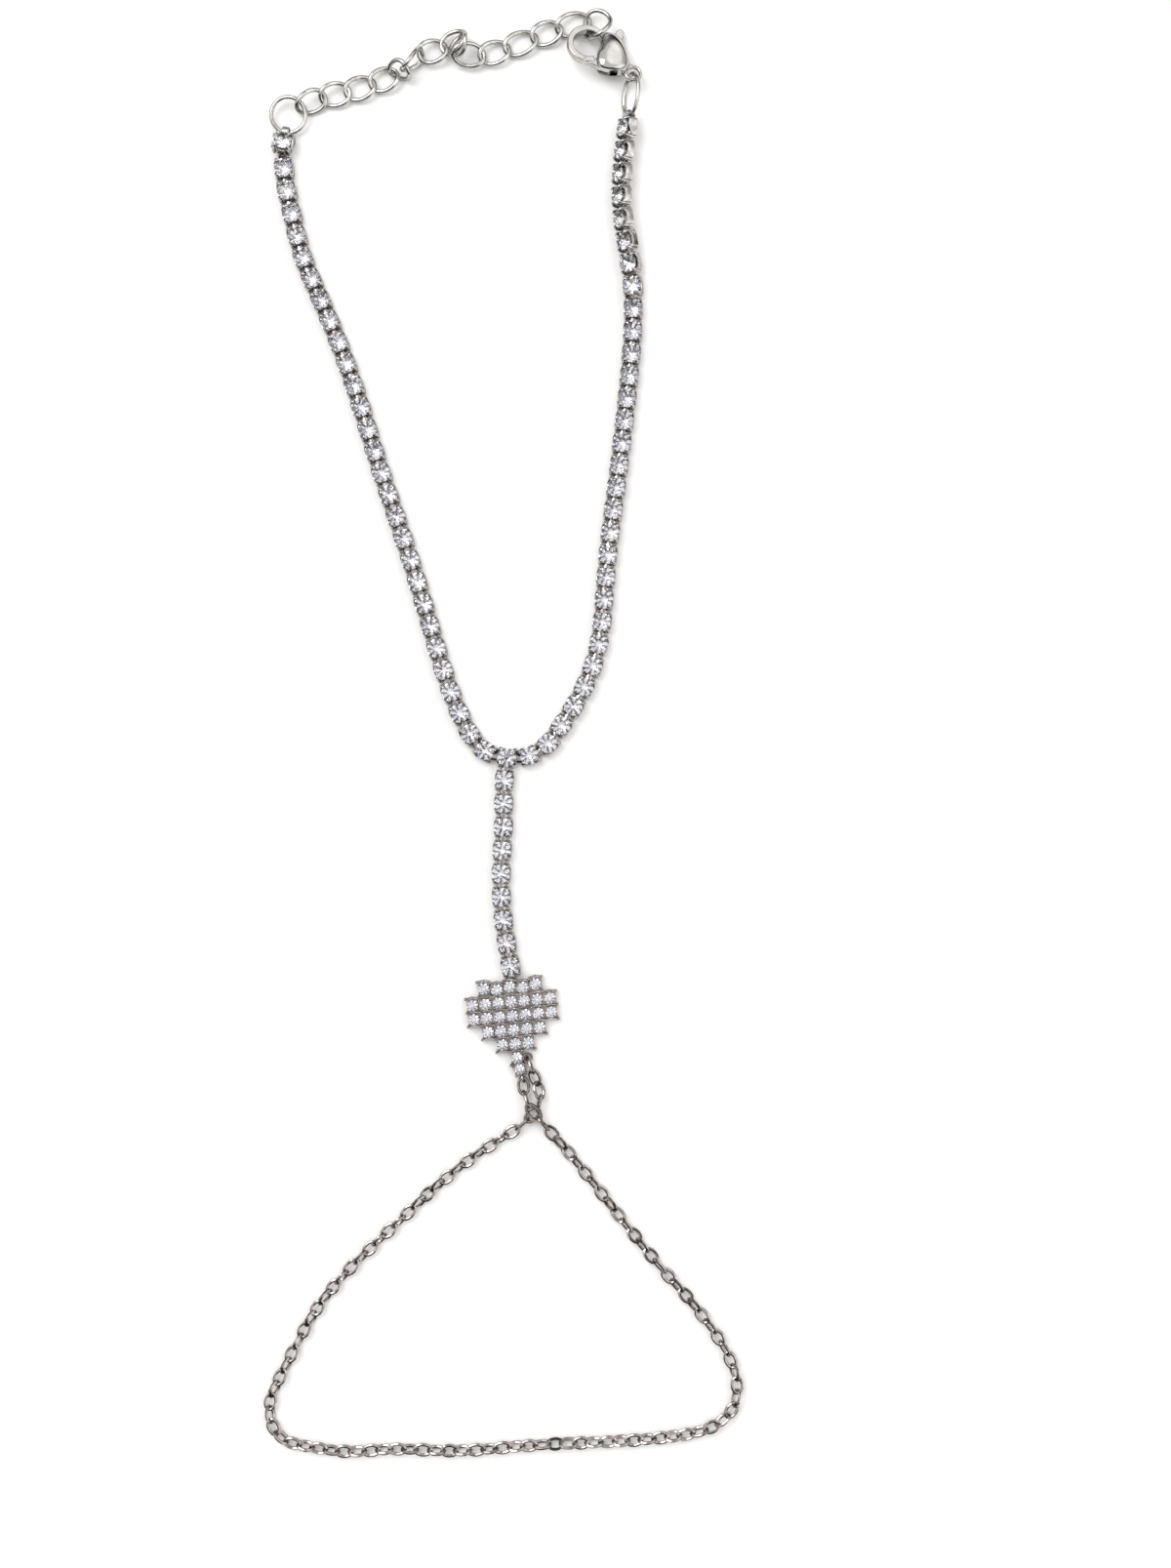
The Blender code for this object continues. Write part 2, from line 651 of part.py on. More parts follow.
# Outlines of the clasp seen from above, hook centre at the origin, eye at -X, lever tab at -Y
PLATE = [(-5.5, -0.6), (-4.5, -1.75), (-3.4, -2.65), (-2.3, -3.0), (-1.4, -2.95), (-0.75, -2.5),
         (-0.85, -1.6), (-1.3, -1.2), (-1.5, -0.3), (-1.65, 1.0), (-2.67, 2.21), (-3.8, 1.95),
         (-4.9, 1.2), (-5.5, 0.6)]
PAD = [(-5.0, -0.5), (-4.4, -1.45), (-3.5, -2.15), (-2.5, -2.5), (-1.9, -2.3), (-1.7, -1.4), (-1.8, -0.3),
       (-1.95, 0.7), (-2.75, 1.75), (-3.7, 1.7), (-4.6, 1.05), (-5.0, 0.4)]
SLOT = [(-5.3, -5.0), (-1.6, -5.0), (-1.7, -2.0), (-2.25, -0.5), (-2.1, 0.5), (-1.3, 0.5), (-1.0, 1.5),
        (-1.0, 4.0), (-4.6, 4.0), (-4.75, 1.5), (-4.65, 0.2), (-5.3, -2.0)]
ARM = [(-4.15, 0.9), (-3.95, 1.6), (-3.3, 1.8), (-2.5, 2.02), (-1.6, 2.2), (-1.2, 2.0), (-1.3, 1.55),
       (-2.3, 0.95), (-2.7, 0.4), (-2.4, -1.0), (-2.0, -2.9), (-1.85, -3.7), (-2.0, -4.05), (-2.35, -4.2),
       (-2.75, -4.05), (-2.95, -3.7), (-3.05, -2.9), (-3.45, -1.0), (-4.0, 0.3)]
GATE = [(-0.90, 2.35), (-0.68, 1.66), (-1.45, 1.48), (-1.95, 2.28)]


def disc(name, middle, radius, low, high, steps=RING_STEPS):
    """A short round prism about a point of the plane."""
    t = np.arange(steps) * 2.0 * math.pi / steps
    outline = np.column_stack([middle[0] + radius * np.cos(t), middle[1] + radius * np.sin(t)])
    return new_object(name, prism(outline, low, high))


def hook_band():
    """The hook's curved band, with its four long edges taken off."""
    half = np.array([HOOK_BAND, HOOK_HEIGHT]) / 2.0
    edge = HOOK_BAND / 4.0
    section = [(-half[0], edge - half[1]), (edge - half[0], -half[1]), (half[0] - edge, -half[1]),
               (half[0], edge - half[1])]
    section += [(r, -z) for r, z in reversed(section)]
    rings = []
    for angle in np.radians(np.linspace(HOOK_ROOT, HOOK_TIP, HOOK_STEPS)):
        rings.append([((HOOK_RADIUS + r) * math.cos(angle), (HOOK_RADIUS + r) * math.sin(angle), z)
                      for r, z in section])
    bm = bmesh.new()
    tube_faces(bm, rings, False)
    return new_object("hook", bm)


def clasp_body():
    """The fixed half of the clasp in its own frame: hook, plate, domed pad, eye, lever slot and pin."""
    body = new_object("clasp_body", prism(PLATE, -HOOK_HEIGHT / 2.0, HOOK_HEIGHT / 2.0))
    combine(body, hook_band())
    pad = new_object("pad", prism(PAD, -CLASP_THICKNESS / 2.0, CLASP_THICKNESS / 2.0))
    combine(body, round_edges(pad, CLASP_BEVEL, CLASP_BEVEL_STEPS))
    eye = (-EYE_REACH, 0.0)
    combine(body, disc("eye", eye, EYE_OUTER_RADIUS, -EYE_THICKNESS / 2.0, EYE_THICKNESS / 2.0))
    combine(body, disc("hole", eye, EYE_HOLE_RADIUS, -CLASP_THICKNESS, CLASP_THICKNESS), "DIFFERENCE")
    slot = LEVER_THICKNESS / 2.0 + LEVER_CLEARANCE
    combine(body, new_object("slot", prism(SLOT, -slot, slot)), "DIFFERENCE")
    pin_end = (slot + CLASP_THICKNESS / 2.0) / 2.0
    return combine(body, disc("pin", PIVOT, PIN_RADIUS, -pin_end, pin_end, RING_STEPS // 2))


def clasp_lever():
    """The lever in the clasp's own frame: tab, arm round the pin, and the gate block that meets the hook."""
    half = LEVER_THICKNESS / 2.0
    lever = new_object("clasp_lever", prism(ARM, -half, half))
    combine(lever, new_object("gate", prism(GATE, -HOOK_HEIGHT / 2.0, HOOK_HEIGHT / 2.0)))
    bore = disc("bore", PIVOT, PIN_RADIUS + PIN_CLEARANCE, -LEVER_THICKNESS, LEVER_THICKNESS)
    return combine(lever, bore, "DIFFERENCE")


def clasp_frame(eye_place, body):
    """The clasp's frame from where its eye is, with its body's lowest point on the table."""
    angle = math.radians(CLASP_HEADING)
    place = frame((0.0, 0.0, 0.0), (math.cos(angle), math.sin(angle), 0.0), CLASP_TILT)
    place[:3, 3] = (*eye_place, 0.0) + place[:3, 0] * EYE_REACH
    place[2, 3] -= min(put(place, [v.co for v in body.data.vertices])[:, 2])
    return place


def centre_on_floor(pieces):
    """Move every piece so that the whole is centred on the origin and rests at height zero."""
    graph = bpy.context.evaluated_depsgraph_get()
    corners = []
    for piece in pieces:
        ready = piece.evaluated_get(graph)
        mesh = ready.to_mesh()
        corners += [piece.matrix_world @ v.co for v in mesh.vertices]
        ready.to_mesh_clear()
    corners = np.array(corners)
    low, high = corners.min(axis=0), corners.max(axis=0)
    shift = -np.array([(low[0] + high[0]) / 2.0, (low[1] + high[1]) / 2.0, low[2]])
    for piece in pieces:
        if piece.location.length > 0.0:
            piece.location += Vector(shift)
        else:
            piece.data.transform(Matrix.Translation(Vector(shift)))
    return shift / MM


def wrist_frames():
    """Frames of every cup of the three strands, the centre cup, and the two end cups."""
    left = stations(smooth(LEFT_ROUTE), CUP_PITCH)
    right_curve = smooth(RIGHT_ROUTE)
    right = stations(right_curve, CUP_PITCH)
    drop = stations(smooth(DROP_ROUTE), CUP_PITCH)
    to_end = measure(right_curve)[-1] * (1.0 - np.arange(len(right)) / (len(right) - 1))
    share = np.clip((ROLL_STARTS - to_end) / (ROLL_STARTS - ROLL_FULL), 0.0, 1.0)
    left_frames = cup_frames(left, np.zeros(len(left)))
    right_frames = cup_frames(right, -ROLL_ANGLE * share * share * (3.0 - 2.0 * share))
    drop_frames = cup_frames(drop, np.zeros(len(drop)))
    centre = cup_frames(np.array([left[-2], left[-1], right[1]]), (0.0, 0.0, 0.0))[1]
    # The left end cup is turned towards its ring and dips onto its loop
    outward = Matrix.Rotation(math.radians(LEFT_CUP_YAW), 2) @ Vector(left[0] - left[1])
    left_end = frame((*left[0], 0.0), (*outward, 0.0), 0.0, LEFT_CUP_DIP)
    left_end[2, 3] = strap_middle()[2] - (left_end[:3, :3] @ strap_middle())[2]
    right_end = right_frames[-1]
    right_end[2, 3] += TAB_THICKNESS * math.sin(math.radians(ROLL_ANGLE))
    return left_frames[1:-1], right_frames[1:-1], drop_frames[1:], centre, left_end, right_end


def drop_strand(frames, centre_frame):
    """The wrist strand's centre cup with the drop hanging from its lower side, down to the heart."""
    bm = bmesh.new()
    centre = Cup(bm, centre_frame, ("right",))
    cups = [Cup(bm, place, ("behind", "ahead")) for place in frames]
    centre.bridge("right", cups[0], "behind")
    for one, two in zip(cups, cups[1:]):
        one.bridge("ahead", two, "behind")
    top = heart_frame()
    inside = put(top, (0.0, HEART_TOP * HEART_ROW + TOP_STEPS[0] - CUP_LENGTH / 2.0, 0.0))
    cups[-1].stub("ahead", frame(inside, -top[:3, 1]), "behind")
    return finish(new_object("drop_strand", bm, (METAL, STONE)), FACET_ANGLE)


def left_jump_ring(end):
    """The ring through the left end cup's loop: its middle, its two directions and its radius."""
    rise = math.radians(LEFT_RING_RISE)
    away = np.array([*unit(end[:2, 0]) * math.cos(rise), math.sin(rise)])
    radius = (LEFT_RING_DIAMETER - RING_WIRE) / 2.0
    middle = put(end, strap_middle()) + away * radius
    ring_piece("left_jump_ring", middle, away, end[:3, 1], radius, radius)
    return middle, away, end[:3, 1], radius


def clasp(right_end):
    """Clasp body, lever on its pin, and the oblong ring that ties the eye to the right end cup."""
    body = clasp_body()
    lever = clasp_lever()
    loop = put(right_end, strap_middle())
    heading = math.radians(RIGHT_RING_HEADING)
    forward = np.array([math.cos(heading), math.sin(heading)])
    place = clasp_frame(loop[:2] + forward * (RIGHT_RING_LENGTH - RING_WIRE), body)
    for piece in (body, lever):
        piece.data.transform(Matrix(place.tolist()))
        finish(piece, CLASP_ANGLE)
    pivot = put(place, (*PIVOT, 0.0))
    lever.data.transform(Matrix.Translation(Vector(-pivot * MM)))
    lever.location = Vector(pivot * MM)
    eye = put(place, (-EYE_REACH, 0.0, 0.0))
    long_axis = unit(eye - loop)
    tilt = math.radians(RIGHT_RING_TILT)
    short = np.array([math.cos(tilt), 0.0, math.sin(tilt)])
    short = unit(short - long_axis * np.dot(short, long_axis))
    ring_piece("right_jump_ring", (eye + loop) / 2.0, long_axis, short, np.linalg.norm(eye - loop) / 2.0,
               (RIGHT_RING_WIDTH - RING_WIRE) / 2.0)
    return place, pivot


def extender(ring, clasp_place):
    """The extender's links from the left ring, and the round end link about the clasp's hook."""
    middle, away, side, radius = ring
    start = math.radians(EXTENDER_START)
    towards = away * math.cos(start) + side * math.sin(start)
    inner_side = radius - RING_WIRE / 2.0 - EXTENDER_WIRE / 2.0 - PIECE_GAP
    first = middle + towards * (inner_side + hook_in(EXTENDER_WIRE))
    at = math.radians(END_LINK_AT)
    ray = np.array([math.cos(at), math.sin(at), 0.0])
    inside = HOOK_RADIUS - HOOK_BAND / 2.0 - EXTENDER_WIRE / 2.0 - PIECE_GAP - END_LINK_SLACK
    inner, band = put(clasp_place, ray * inside), put(clasp_place, ray * HOOK_RADIUS)
    out = unit((*(band - inner)[:2], 0.0))
    half = (END_LINK_DIAMETER - EXTENDER_WIRE) / 2.0
    end = frame((*(inner + out * half)[:2], band[2] + END_LINK_LIFT), out, END_LINK_ROLL)
    t = math.radians(END_LINK_JOINT)
    held = put(end, (half * math.cos(t), half * math.sin(t), -END_LINK_TWIST * math.sin(2.0 * t)))
    held += unit(held - EXTENDER_JOINTS[-1]) * hook_in(EXTENDER_WIRE)
    links = chain("extender_chain", [first, *EXTENDER_JOINTS, held], EXTENDER_WIRE, EXTENDER_WIDTH,
                  EXTENDER_ROLLS, LINK_STEPS, WIRE_SIDES, EXTENDER_TWIST)
    last = bmesh.new()
    wire_loop(last, put(end, oval(half, half, RING_STEPS, END_LINK_TWIST)), end[:3, 2],
              EXTENDER_WIRE / 2.0, WIRE_SIDES)
    return finish(combine(links, new_object("end_link", last)), WIRE_ANGLE)


def lead(name, eye, joints, rolls):
    """The first links of the finger chain, hooked through one of the heart's eyes."""
    hooked = eye + unit(joints[0] - eye) * hook_in(CHAIN_WIRE)
    return finish(chain(name, [hooked, *joints], CHAIN_WIRE, CHAIN_WIDTH, rolls, CHAIN_STEPS, CHAIN_SIDES),
                  WIRE_ANGLE)


def finger_chain():
    """The long run of the finger chain as one tube of the chain's own width."""
    rest = CHAIN_WIDTH / 2.0
    route = [RIGHT_LEAD[-1][:2], *FINGER_ROUTE, LEFT_LEAD[-1][:2]]
    curve = smooth([(x, y, rest) for x, y in route])
    off = CHAIN_WIRE + PIECE_GAP
    points = along_curve(curve, np.linspace(off, measure(curve)[-1] - off, TUBE_POINTS)) * MM
    path = bpy.data.curves.new("finger_chain", "CURVE")
    path.dimensions = "3D"
    spline = path.splines.new("POLY")
    spline.points.add(len(points) - 1)
    for point, at in zip(spline.points, points):
        point.co = (*at, 1.0)
    path.bevel_depth = rest * MM
    path.bevel_resolution = 2
    path.use_fill_caps = True
    path.materials.append(material(METAL))
    tube = bpy.data.objects.new("finger_chain", path)
    bpy.context.collection.objects.link(tube)
    return tube


def main():
    for old in list(bpy.data.objects):
        bpy.data.objects.remove(old)
    left, right, drop, centre, left_end, right_end = wrist_frames()
    strand("left_strand", left, left_end, "behind", centre, "behind")
    strand("right_strand", right, centre, "ahead", right_end, "behind")
    drop_strand(drop, centre)
    end_cup("left_end_cup", left_end)
    end_cup("right_end_cup", right_end)
    ring = left_jump_ring(left_end)
    place, pivot = clasp(right_end)
    extender(ring, place)
    heart()
    own = heart_frame()
    lead("right_lead", put(own, tip_eye()), np.array(RIGHT_LEAD), RIGHT_LEAD_ROLLS)
    lead("left_lead", put(own, side_eye()), np.array(LEFT_LEAD), LEFT_LEAD_ROLLS)
    finger_chain()
    shift = centre_on_floor(list(bpy.data.objects))
    print("cups left, right, drop", len(left), len(right), len(drop))
    print("lever pivot in mm", pivot + shift, "axis", -place[:3, 2])
    print("moved in mm", shift)


main()
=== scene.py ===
# %% [markdown]
# # A hand chain bracelet, dressed for its picture
#
# The construction comes packed from the CAD step: fourteen plain solids with the right sizes in the right
# places. This lesson gives them the surfaces of the real thing: claw cups stamped from sheet, cut stones
# on foil, twisted wire links, a cast clasp with its lever, and the fine cable chain that goes round the
# finger. Every new piece is a surface that numpy works out on a grid, so its formula can be read. Shapes
# are worked out in millimetres, and a mesh is made from them in metres.

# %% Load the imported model
import json
import math

import bpy
import numpy as np
from mathutils import Matrix


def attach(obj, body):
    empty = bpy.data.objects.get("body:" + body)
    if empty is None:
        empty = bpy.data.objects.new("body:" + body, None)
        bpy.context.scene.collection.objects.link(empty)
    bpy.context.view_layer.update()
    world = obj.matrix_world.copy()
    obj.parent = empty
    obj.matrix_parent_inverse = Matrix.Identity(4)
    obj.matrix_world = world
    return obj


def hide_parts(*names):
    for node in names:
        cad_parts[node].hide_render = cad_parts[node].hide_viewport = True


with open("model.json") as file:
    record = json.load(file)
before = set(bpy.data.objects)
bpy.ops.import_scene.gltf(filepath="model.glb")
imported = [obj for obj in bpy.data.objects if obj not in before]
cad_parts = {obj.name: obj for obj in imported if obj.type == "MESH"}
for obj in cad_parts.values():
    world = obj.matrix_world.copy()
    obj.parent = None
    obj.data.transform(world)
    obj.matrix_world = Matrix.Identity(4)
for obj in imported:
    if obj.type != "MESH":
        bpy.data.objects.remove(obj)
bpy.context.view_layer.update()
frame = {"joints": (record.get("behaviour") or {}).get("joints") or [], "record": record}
MM = 0.001

# %% [markdown]
# ## The camera
#
# The photograph looks straight down on the table. One of its 1607 rows of pixels is 0.118 mm at the height
# of the stones. The camera stands over the picture's centre, which lies a little right of the bracelet's
# own, and the lens follows from its distance and the height of the view.

# %% Place the camera
PIXEL = 0.118
PICTURE_ROWS = 1607
CAMERA_CENTRE = (9.9, -6.07)
STONE_LEVEL = 1.3
CAMERA_DISTANCE = 260.0

scene = bpy.context.scene


def new_object(name, data):
    """An object of the data, linked to the scene."""
    made = bpy.data.objects.new(name, data)
    scene.collection.objects.link(made)
    return made


camera_data = bpy.data.cameras.new("camera")
camera = new_object("camera", camera_data)
camera.location = (CAMERA_CENTRE[0] * MM, CAMERA_CENTRE[1] * MM, (STONE_LEVEL + CAMERA_DISTANCE) * MM)
half_view = PICTURE_ROWS * PIXEL / 2.0
camera_data.lens = camera_data.sensor_width / 2.0 * CAMERA_DISTANCE / half_view
camera_data.clip_start = 0.01
scene.camera = camera
print("lens in mm", round(camera_data.lens, 2))

# %% [markdown]
# ## Frames and curves
#
# Cups and links are small shapes repeated along a route. A *frame* says where one copy goes: x along the
# chain, y to its left, z up. A route is a natural cubic spline through a few chosen points, the curve that
# a thin flexible strip takes when it is held at those points.

# %% Tools for frames and curves
UP = np.array([0.0, 0.0, 1.0])


def unit(v):
    """Each vector divided by its own length."""
    v = np.asarray(v, float)
    return v / np.linalg.norm(v, axis=-1, keepdims=True)


def frames_at(origins, along=(1.0, 0.0, 0.0), roll=0.0, dip=0.0, up=UP):
    """4 by 4 frames: x along, y = up cross x, z = x cross y, then dipped about y and rolled about x."""
    origins = np.atleast_2d(origins)
    x = unit(np.broadcast_to(along, origins.shape))
    y = unit(np.cross(up, x))
    z = np.cross(x, y)
    dip, roll = (np.radians(np.broadcast_to(angle, len(x)))[:, None] for angle in (dip, roll))
    x, z = x * np.cos(dip) - z * np.sin(dip), z * np.cos(dip) + x * np.sin(dip)
    y, z = y * np.cos(roll) + z * np.sin(roll), z * np.cos(roll) - y * np.sin(roll)
    made = np.tile(np.eye(4), (len(x), 1, 1))
    made[:, :3] = np.stack([x, y, z, origins], axis=-1)
    return made


def put(place, points):
    """Points of a frame in the common frame: the rotation times each point, plus the origin."""
    return np.asarray(points, float) @ place[:3, :3].T + place[:3, 3]


def heading(angle):
    """Level unit vectors (cos a, sin a, 0), one for each angle."""
    angle = np.radians(np.asarray(angle, float))
    return np.stack([np.cos(angle), np.sin(angle), np.zeros_like(angle)], axis=-1)


def turned(angles, origin=(0.0, 0.0, 0.0)):
    """Level frames turned about z by the angles, at one origin."""
    along = heading(np.atleast_1d(angles))
    return frames_at(np.broadcast_to(origin, along.shape), along)


def spline(points, per_span=40):
    """Natural cubic spline: p(t) = a p0 + b p1 + h^2/6 ((a^3 - a) c0 + (b^3 - b) c1), a = 1 - t, b = t.

    The bends c come from one set of linear equations that makes the slope run on at each point.
    """
    p = np.asarray(points, float)
    h = np.linalg.norm(np.diff(p, axis=0), axis=1)
    inner = np.arange(1, len(p) - 1)
    system = np.eye(len(p))
    system[inner, inner - 1] = h[:-1]
    system[inner, inner] = 2.0 * (h[:-1] + h[1:])
    system[inner, inner + 1] = h[1:]
    right = np.zeros_like(p)
    right[1:-1] = 6.0 * np.diff(np.diff(p, axis=0) / h[:, None], axis=0)
    bend = np.linalg.solve(system, right)
    b = np.linspace(0.0, 1.0, per_span, endpoint=False)[None, :, None]
    a = 1.0 - b
    curved = (a ** 3 - a) * bend[:-1, None] + (b ** 3 - b) * bend[1:, None]
    spans = a * p[:-1, None] + b * p[1:, None] + (h ** 2 / 6.0)[:, None, None] * curved
    return np.vstack([spans.reshape(-1, p.shape[1]), p[-1:]])


def distances(curve):
    """Distance along the curve at each of its points."""
    return np.concatenate([[0.0], np.cumsum(np.linalg.norm(np.diff(curve, axis=0), axis=1))])


def at_distance(curve, at):
    """Points of the curve at the distances given, read off it in straight lines."""
    s = distances(curve)
    return np.stack([np.interp(at, s, curve[:, k]) for k in range(curve.shape[1])], axis=-1)


def even_steps(curve, pitch):
    """Points along the curve at whole steps as near to the pitch as fits, both ends included."""
    length = distances(curve)[-1]
    return at_distance(curve, np.linspace(0.0, length, round(length / pitch) + 1))


# %% [markdown]
# ## Skins
#
# All shapes here are *skins*: closed surfaces kept as plain arrays. A tube is rows of section points
# joined by quads and shut at both ends. A wire is such a tube whose rows are one section carried along a
# path. A repeated shape is one skin multiplied by an array of frames, all copies at once.

# %% Tools for skins
class Skin:
    """Points, the corners of all faces in one run, each face's corner count, and each face's material."""

    def __init__(self, points, corners, sizes, paint=0):
        self.points = np.asarray(points, float)
        self.corners = np.asarray(corners, int)
        self.sizes = np.asarray(sizes, int)
        self.paint = np.broadcast_to(paint, len(self.sizes)).astype(int)


def tube(rows, ring=False):
    """A skin over rows of section points that run anticlockwise seen from the last row."""
    rows = np.asarray(rows, float)
    count, across = rows.shape[:2]
    i = np.arange(count if ring else count - 1)[:, None] * across
    above = (i + across) % (count * across)
    j = np.arange(across)[None, :]
    beside = (j + 1) % across
    corners = np.stack([i + j, i + beside, above + beside, above + j], axis=-1).ravel()
    sizes = np.full(i.size * across, 4)
    if not ring:
        ends = [np.arange(across)[::-1], (count - 1) * across + np.arange(across)]
        corners = np.concatenate([corners, *ends])
        sizes = np.concatenate([sizes, [across, across]])
    return Skin(rows.reshape(-1, 3), corners, sizes)


def joined(skins):
    """Several skins as one, the corner numbers of each moved past the points before it."""
    starts = np.cumsum([0] + [len(s.points) for s in skins[:-1]])
    return Skin(np.concatenate([s.points for s in skins]),
                np.concatenate([s.corners + start for s, start in zip(skins, starts)]),
                np.concatenate([s.sizes for s in skins]),
                np.concatenate([s.paint for s in skins]))


def copies(skin, places):
    """The skin once in each frame: point = frame rotation times point plus frame origin."""
    places = np.reshape(places, (-1, 4, 4))
    points = np.einsum("nij,pj->npi", places[:, :3, :3], skin.points) + places[:, None, :3, 3]
    corners = np.arange(len(places))[:, None] * len(skin.points) + skin.corners[None, :]
    return Skin(points.reshape(-1, 3), corners.ravel(), np.tile(skin.sizes, len(places)),
                np.tile(skin.paint, len(places)))


def carry(path, section, up, ring=False):
    """A skin of a flat section carried along a path: point = path + section x * out + section y * over.

    Over is the up direction made square to the path, and out = over cross along.
    """
    path = np.asarray(path, float)
    if ring:
        along = unit(np.roll(path, -1, axis=0) - np.roll(path, 1, axis=0))
    else:
        along = unit(np.gradient(path, axis=0))
    out = unit(np.cross(up, along))
    over = np.cross(along, out)
    return tube(path[:, None] + section[..., :1] * out[:, None] + section[..., 1:] * over[:, None], ring)


def angles_round(count, offset=0.0):
    """Angles in radians of even steps round a circle, the first one turned by a share of a step."""
    return (np.arange(count) + offset) * 2.0 * np.pi / count


def circle(radius, count, offset=0.0):
    """Points of a circle in the plane."""
    t = angles_round(count, offset)
    return np.column_stack([radius * np.cos(t), radius * np.sin(t)])


def superellipse(half_width, half_height, power, sides):
    """Points of |x/a|^p + |y/b|^p = 1: p = 2 is an ellipse, and more is a rounder and rounder box."""
    t = angles_round(sides, 0.5)
    c, s = np.cos(t), np.sin(t)
    return np.stack([half_width * np.sign(c) * np.abs(c) ** (2.0 / power),
                     half_height * np.sign(s) * np.abs(s) ** (2.0 / power)], axis=-1)


def level(outline, z):
    """A flat outline at a height."""
    return np.column_stack([outline, np.full(len(outline), z)])


def stacked(rows):
    """A skin over (outline, height) rows, from the bottom up."""
    return tube([level(outline, z) for outline, z in rows])


def put_mesh(name, skin, materials, *stands_for, body="bracelet", slot="rhodium", sharp=40.0):
    """Make the skin a mesh object that rides on a body in place of the nodes named.

    It prints the number of faces and the volume inside, the sum of a dot (b cross c) / 6 over its triangles.
    """
    mesh = bpy.data.meshes.new(name)
    mesh.vertices.add(len(skin.points))
    mesh.vertices.foreach_set("co", (skin.points * MM).astype(np.float32).ravel())
    mesh.loops.add(len(skin.corners))
    mesh.loops.foreach_set("vertex_index", skin.corners.astype(np.int32))
    mesh.polygons.add(len(skin.sizes))
    starts = np.concatenate([[0], np.cumsum(skin.sizes)[:-1]])
    mesh.polygons.foreach_set("loop_start", starts.astype(np.int32))
    mesh.polygons.foreach_set("material_index", skin.paint.astype(np.int32))
    mesh.update()
    mesh.validate()
    for material in materials:
        mesh.materials.append(material)
    mesh.shade_smooth()
    mesh.set_sharp_from_angle(angle=math.radians(sharp))
    piece = new_object(name, mesh)
    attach(piece, body)
    if stands_for:
        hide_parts(*stands_for)
    mesh.calc_loop_triangles()
    corners = np.empty(3 * len(mesh.loop_triangles), np.int32)
    mesh.loop_triangles.foreach_get("vertices", corners)
    a, b, c = skin.points[corners.reshape(-1, 3)].transpose(1, 0, 2)
    print(name, len(skin.sizes), "faces,", round(float((a * np.cross(b, c)).sum() / 6.0), 2), "mm3")


# %% [markdown]
# ## Finishes
#
# Rhodium plate is a bright white metal. What tells it from a mirror is what polishing leaves: a faint
# waviness, hairline scratches, and patches that are a little duller. All the metals here share that
# effect, so it is one node group with named inputs, and each metal sets its own amounts. The same idea
# serves the stones: a group for the play of colour in the foil under them. The faint smears that fingers
# leave on glass are a noise in its roughness.

# %% Node groups for polished plate and for foil
NUMBER, COLOUR = "NodeSocketFloat", "NodeSocketColor"


def fill(tree, node, inputs):
    """Give a node's inputs, by name or number: a socket is linked to, and anything else is the value."""
    for key, value in dict(inputs).items():
        if isinstance(value, bpy.types.NodeSocket):
            tree.links.new(value, node.inputs[key])
        else:
            node.inputs[key].default_value = value


def add(tree, kind, inputs=(), **settings):
    """A new shader node with its settings made first and its inputs filled after."""
    node = tree.nodes.new("ShaderNode" + kind)
    for name, value in settings.items():
        setattr(node, name, value)
    fill(tree, node, inputs)
    return node


def new_group(name, inputs, outputs):
    """An empty shader group: inputs with their values, where a tuple is a colour, and outputs."""
    group = bpy.data.node_groups.new(name, "ShaderNodeTree")
    for socket, value in inputs.items():
        kind = COLOUR if isinstance(value, tuple) else NUMBER
        group.interface.new_socket(socket, in_out="INPUT", socket_type=kind).default_value = value
    for socket, kind in outputs.items():
        group.interface.new_socket(socket, in_out="OUTPUT", socket_type=kind)
    return group, group.nodes.new("NodeGroupInput").outputs, group.nodes.new("NodeGroupOutput")


def noise(tree, vector, scale, detail=3.0):
    """A noise from 0 to 1 at a scale in turns per metre."""
    return add(tree, "TexNoise", {"Vector": vector, "Scale": scale, "Detail": detail}).outputs["Fac"]


def spread(tree, value, low, high):
    """A value from 0.35 to 0.65, the middle of a noise, spread out between two numbers or sockets."""
    return add(tree, "MapRange", {"Value": value, "From Min": 0.35, "From Max": 0.65, "To Min": low,
                                  "To Max": high}).outputs["Result"]


def mixed(tree, share, first, second):
    """A colour that goes from the first to the second with the share."""
    return add(tree, "Mix", {"Factor": share, "A": first, "B": second}, data_type="RGBA").outputs["Result"]


def plate_group():
    """Polished plate: a patchy colour and roughness, and a height of slow waves with fine scratches."""
    group, given, made = new_group(
        "polished_plate",
        {"Bright": (0.9, 0.9, 0.9, 1.0), "Dull": (0.7, 0.7, 0.7, 1.0), "Smooth": 0.05, "Rough": 0.2,
         "Patches": 900.0, "Waves": 700.0, "Scratches": 0.2},
        {"Colour": COLOUR, "Roughness": NUMBER, "Height": NUMBER})
    where = add(group, "TexCoord").outputs["Object"]
    patches = noise(group, where, given["Patches"])
    drawn_out = add(group, "Mapping", {"Vector": where, "Rotation": (0.3, 0.2, 0.9),
                                       "Scale": (1.0, 12.0, 4.0)}).outputs["Vector"]
    height = add(group, "Math", {0: noise(group, drawn_out, 1500.0, 2.0), 1: given["Scratches"],
                                 2: noise(group, where, given["Waves"], 1.0)}, operation="MULTIPLY_ADD")
    fill(group, made, {
        "Colour": mixed(group, spread(group, patches, 0.0, 1.0), given["Bright"], given["Dull"]),
        "Roughness": spread(group, patches, given["Smooth"], given["Rough"]),
        "Height": height.outputs["Value"]})
    return group


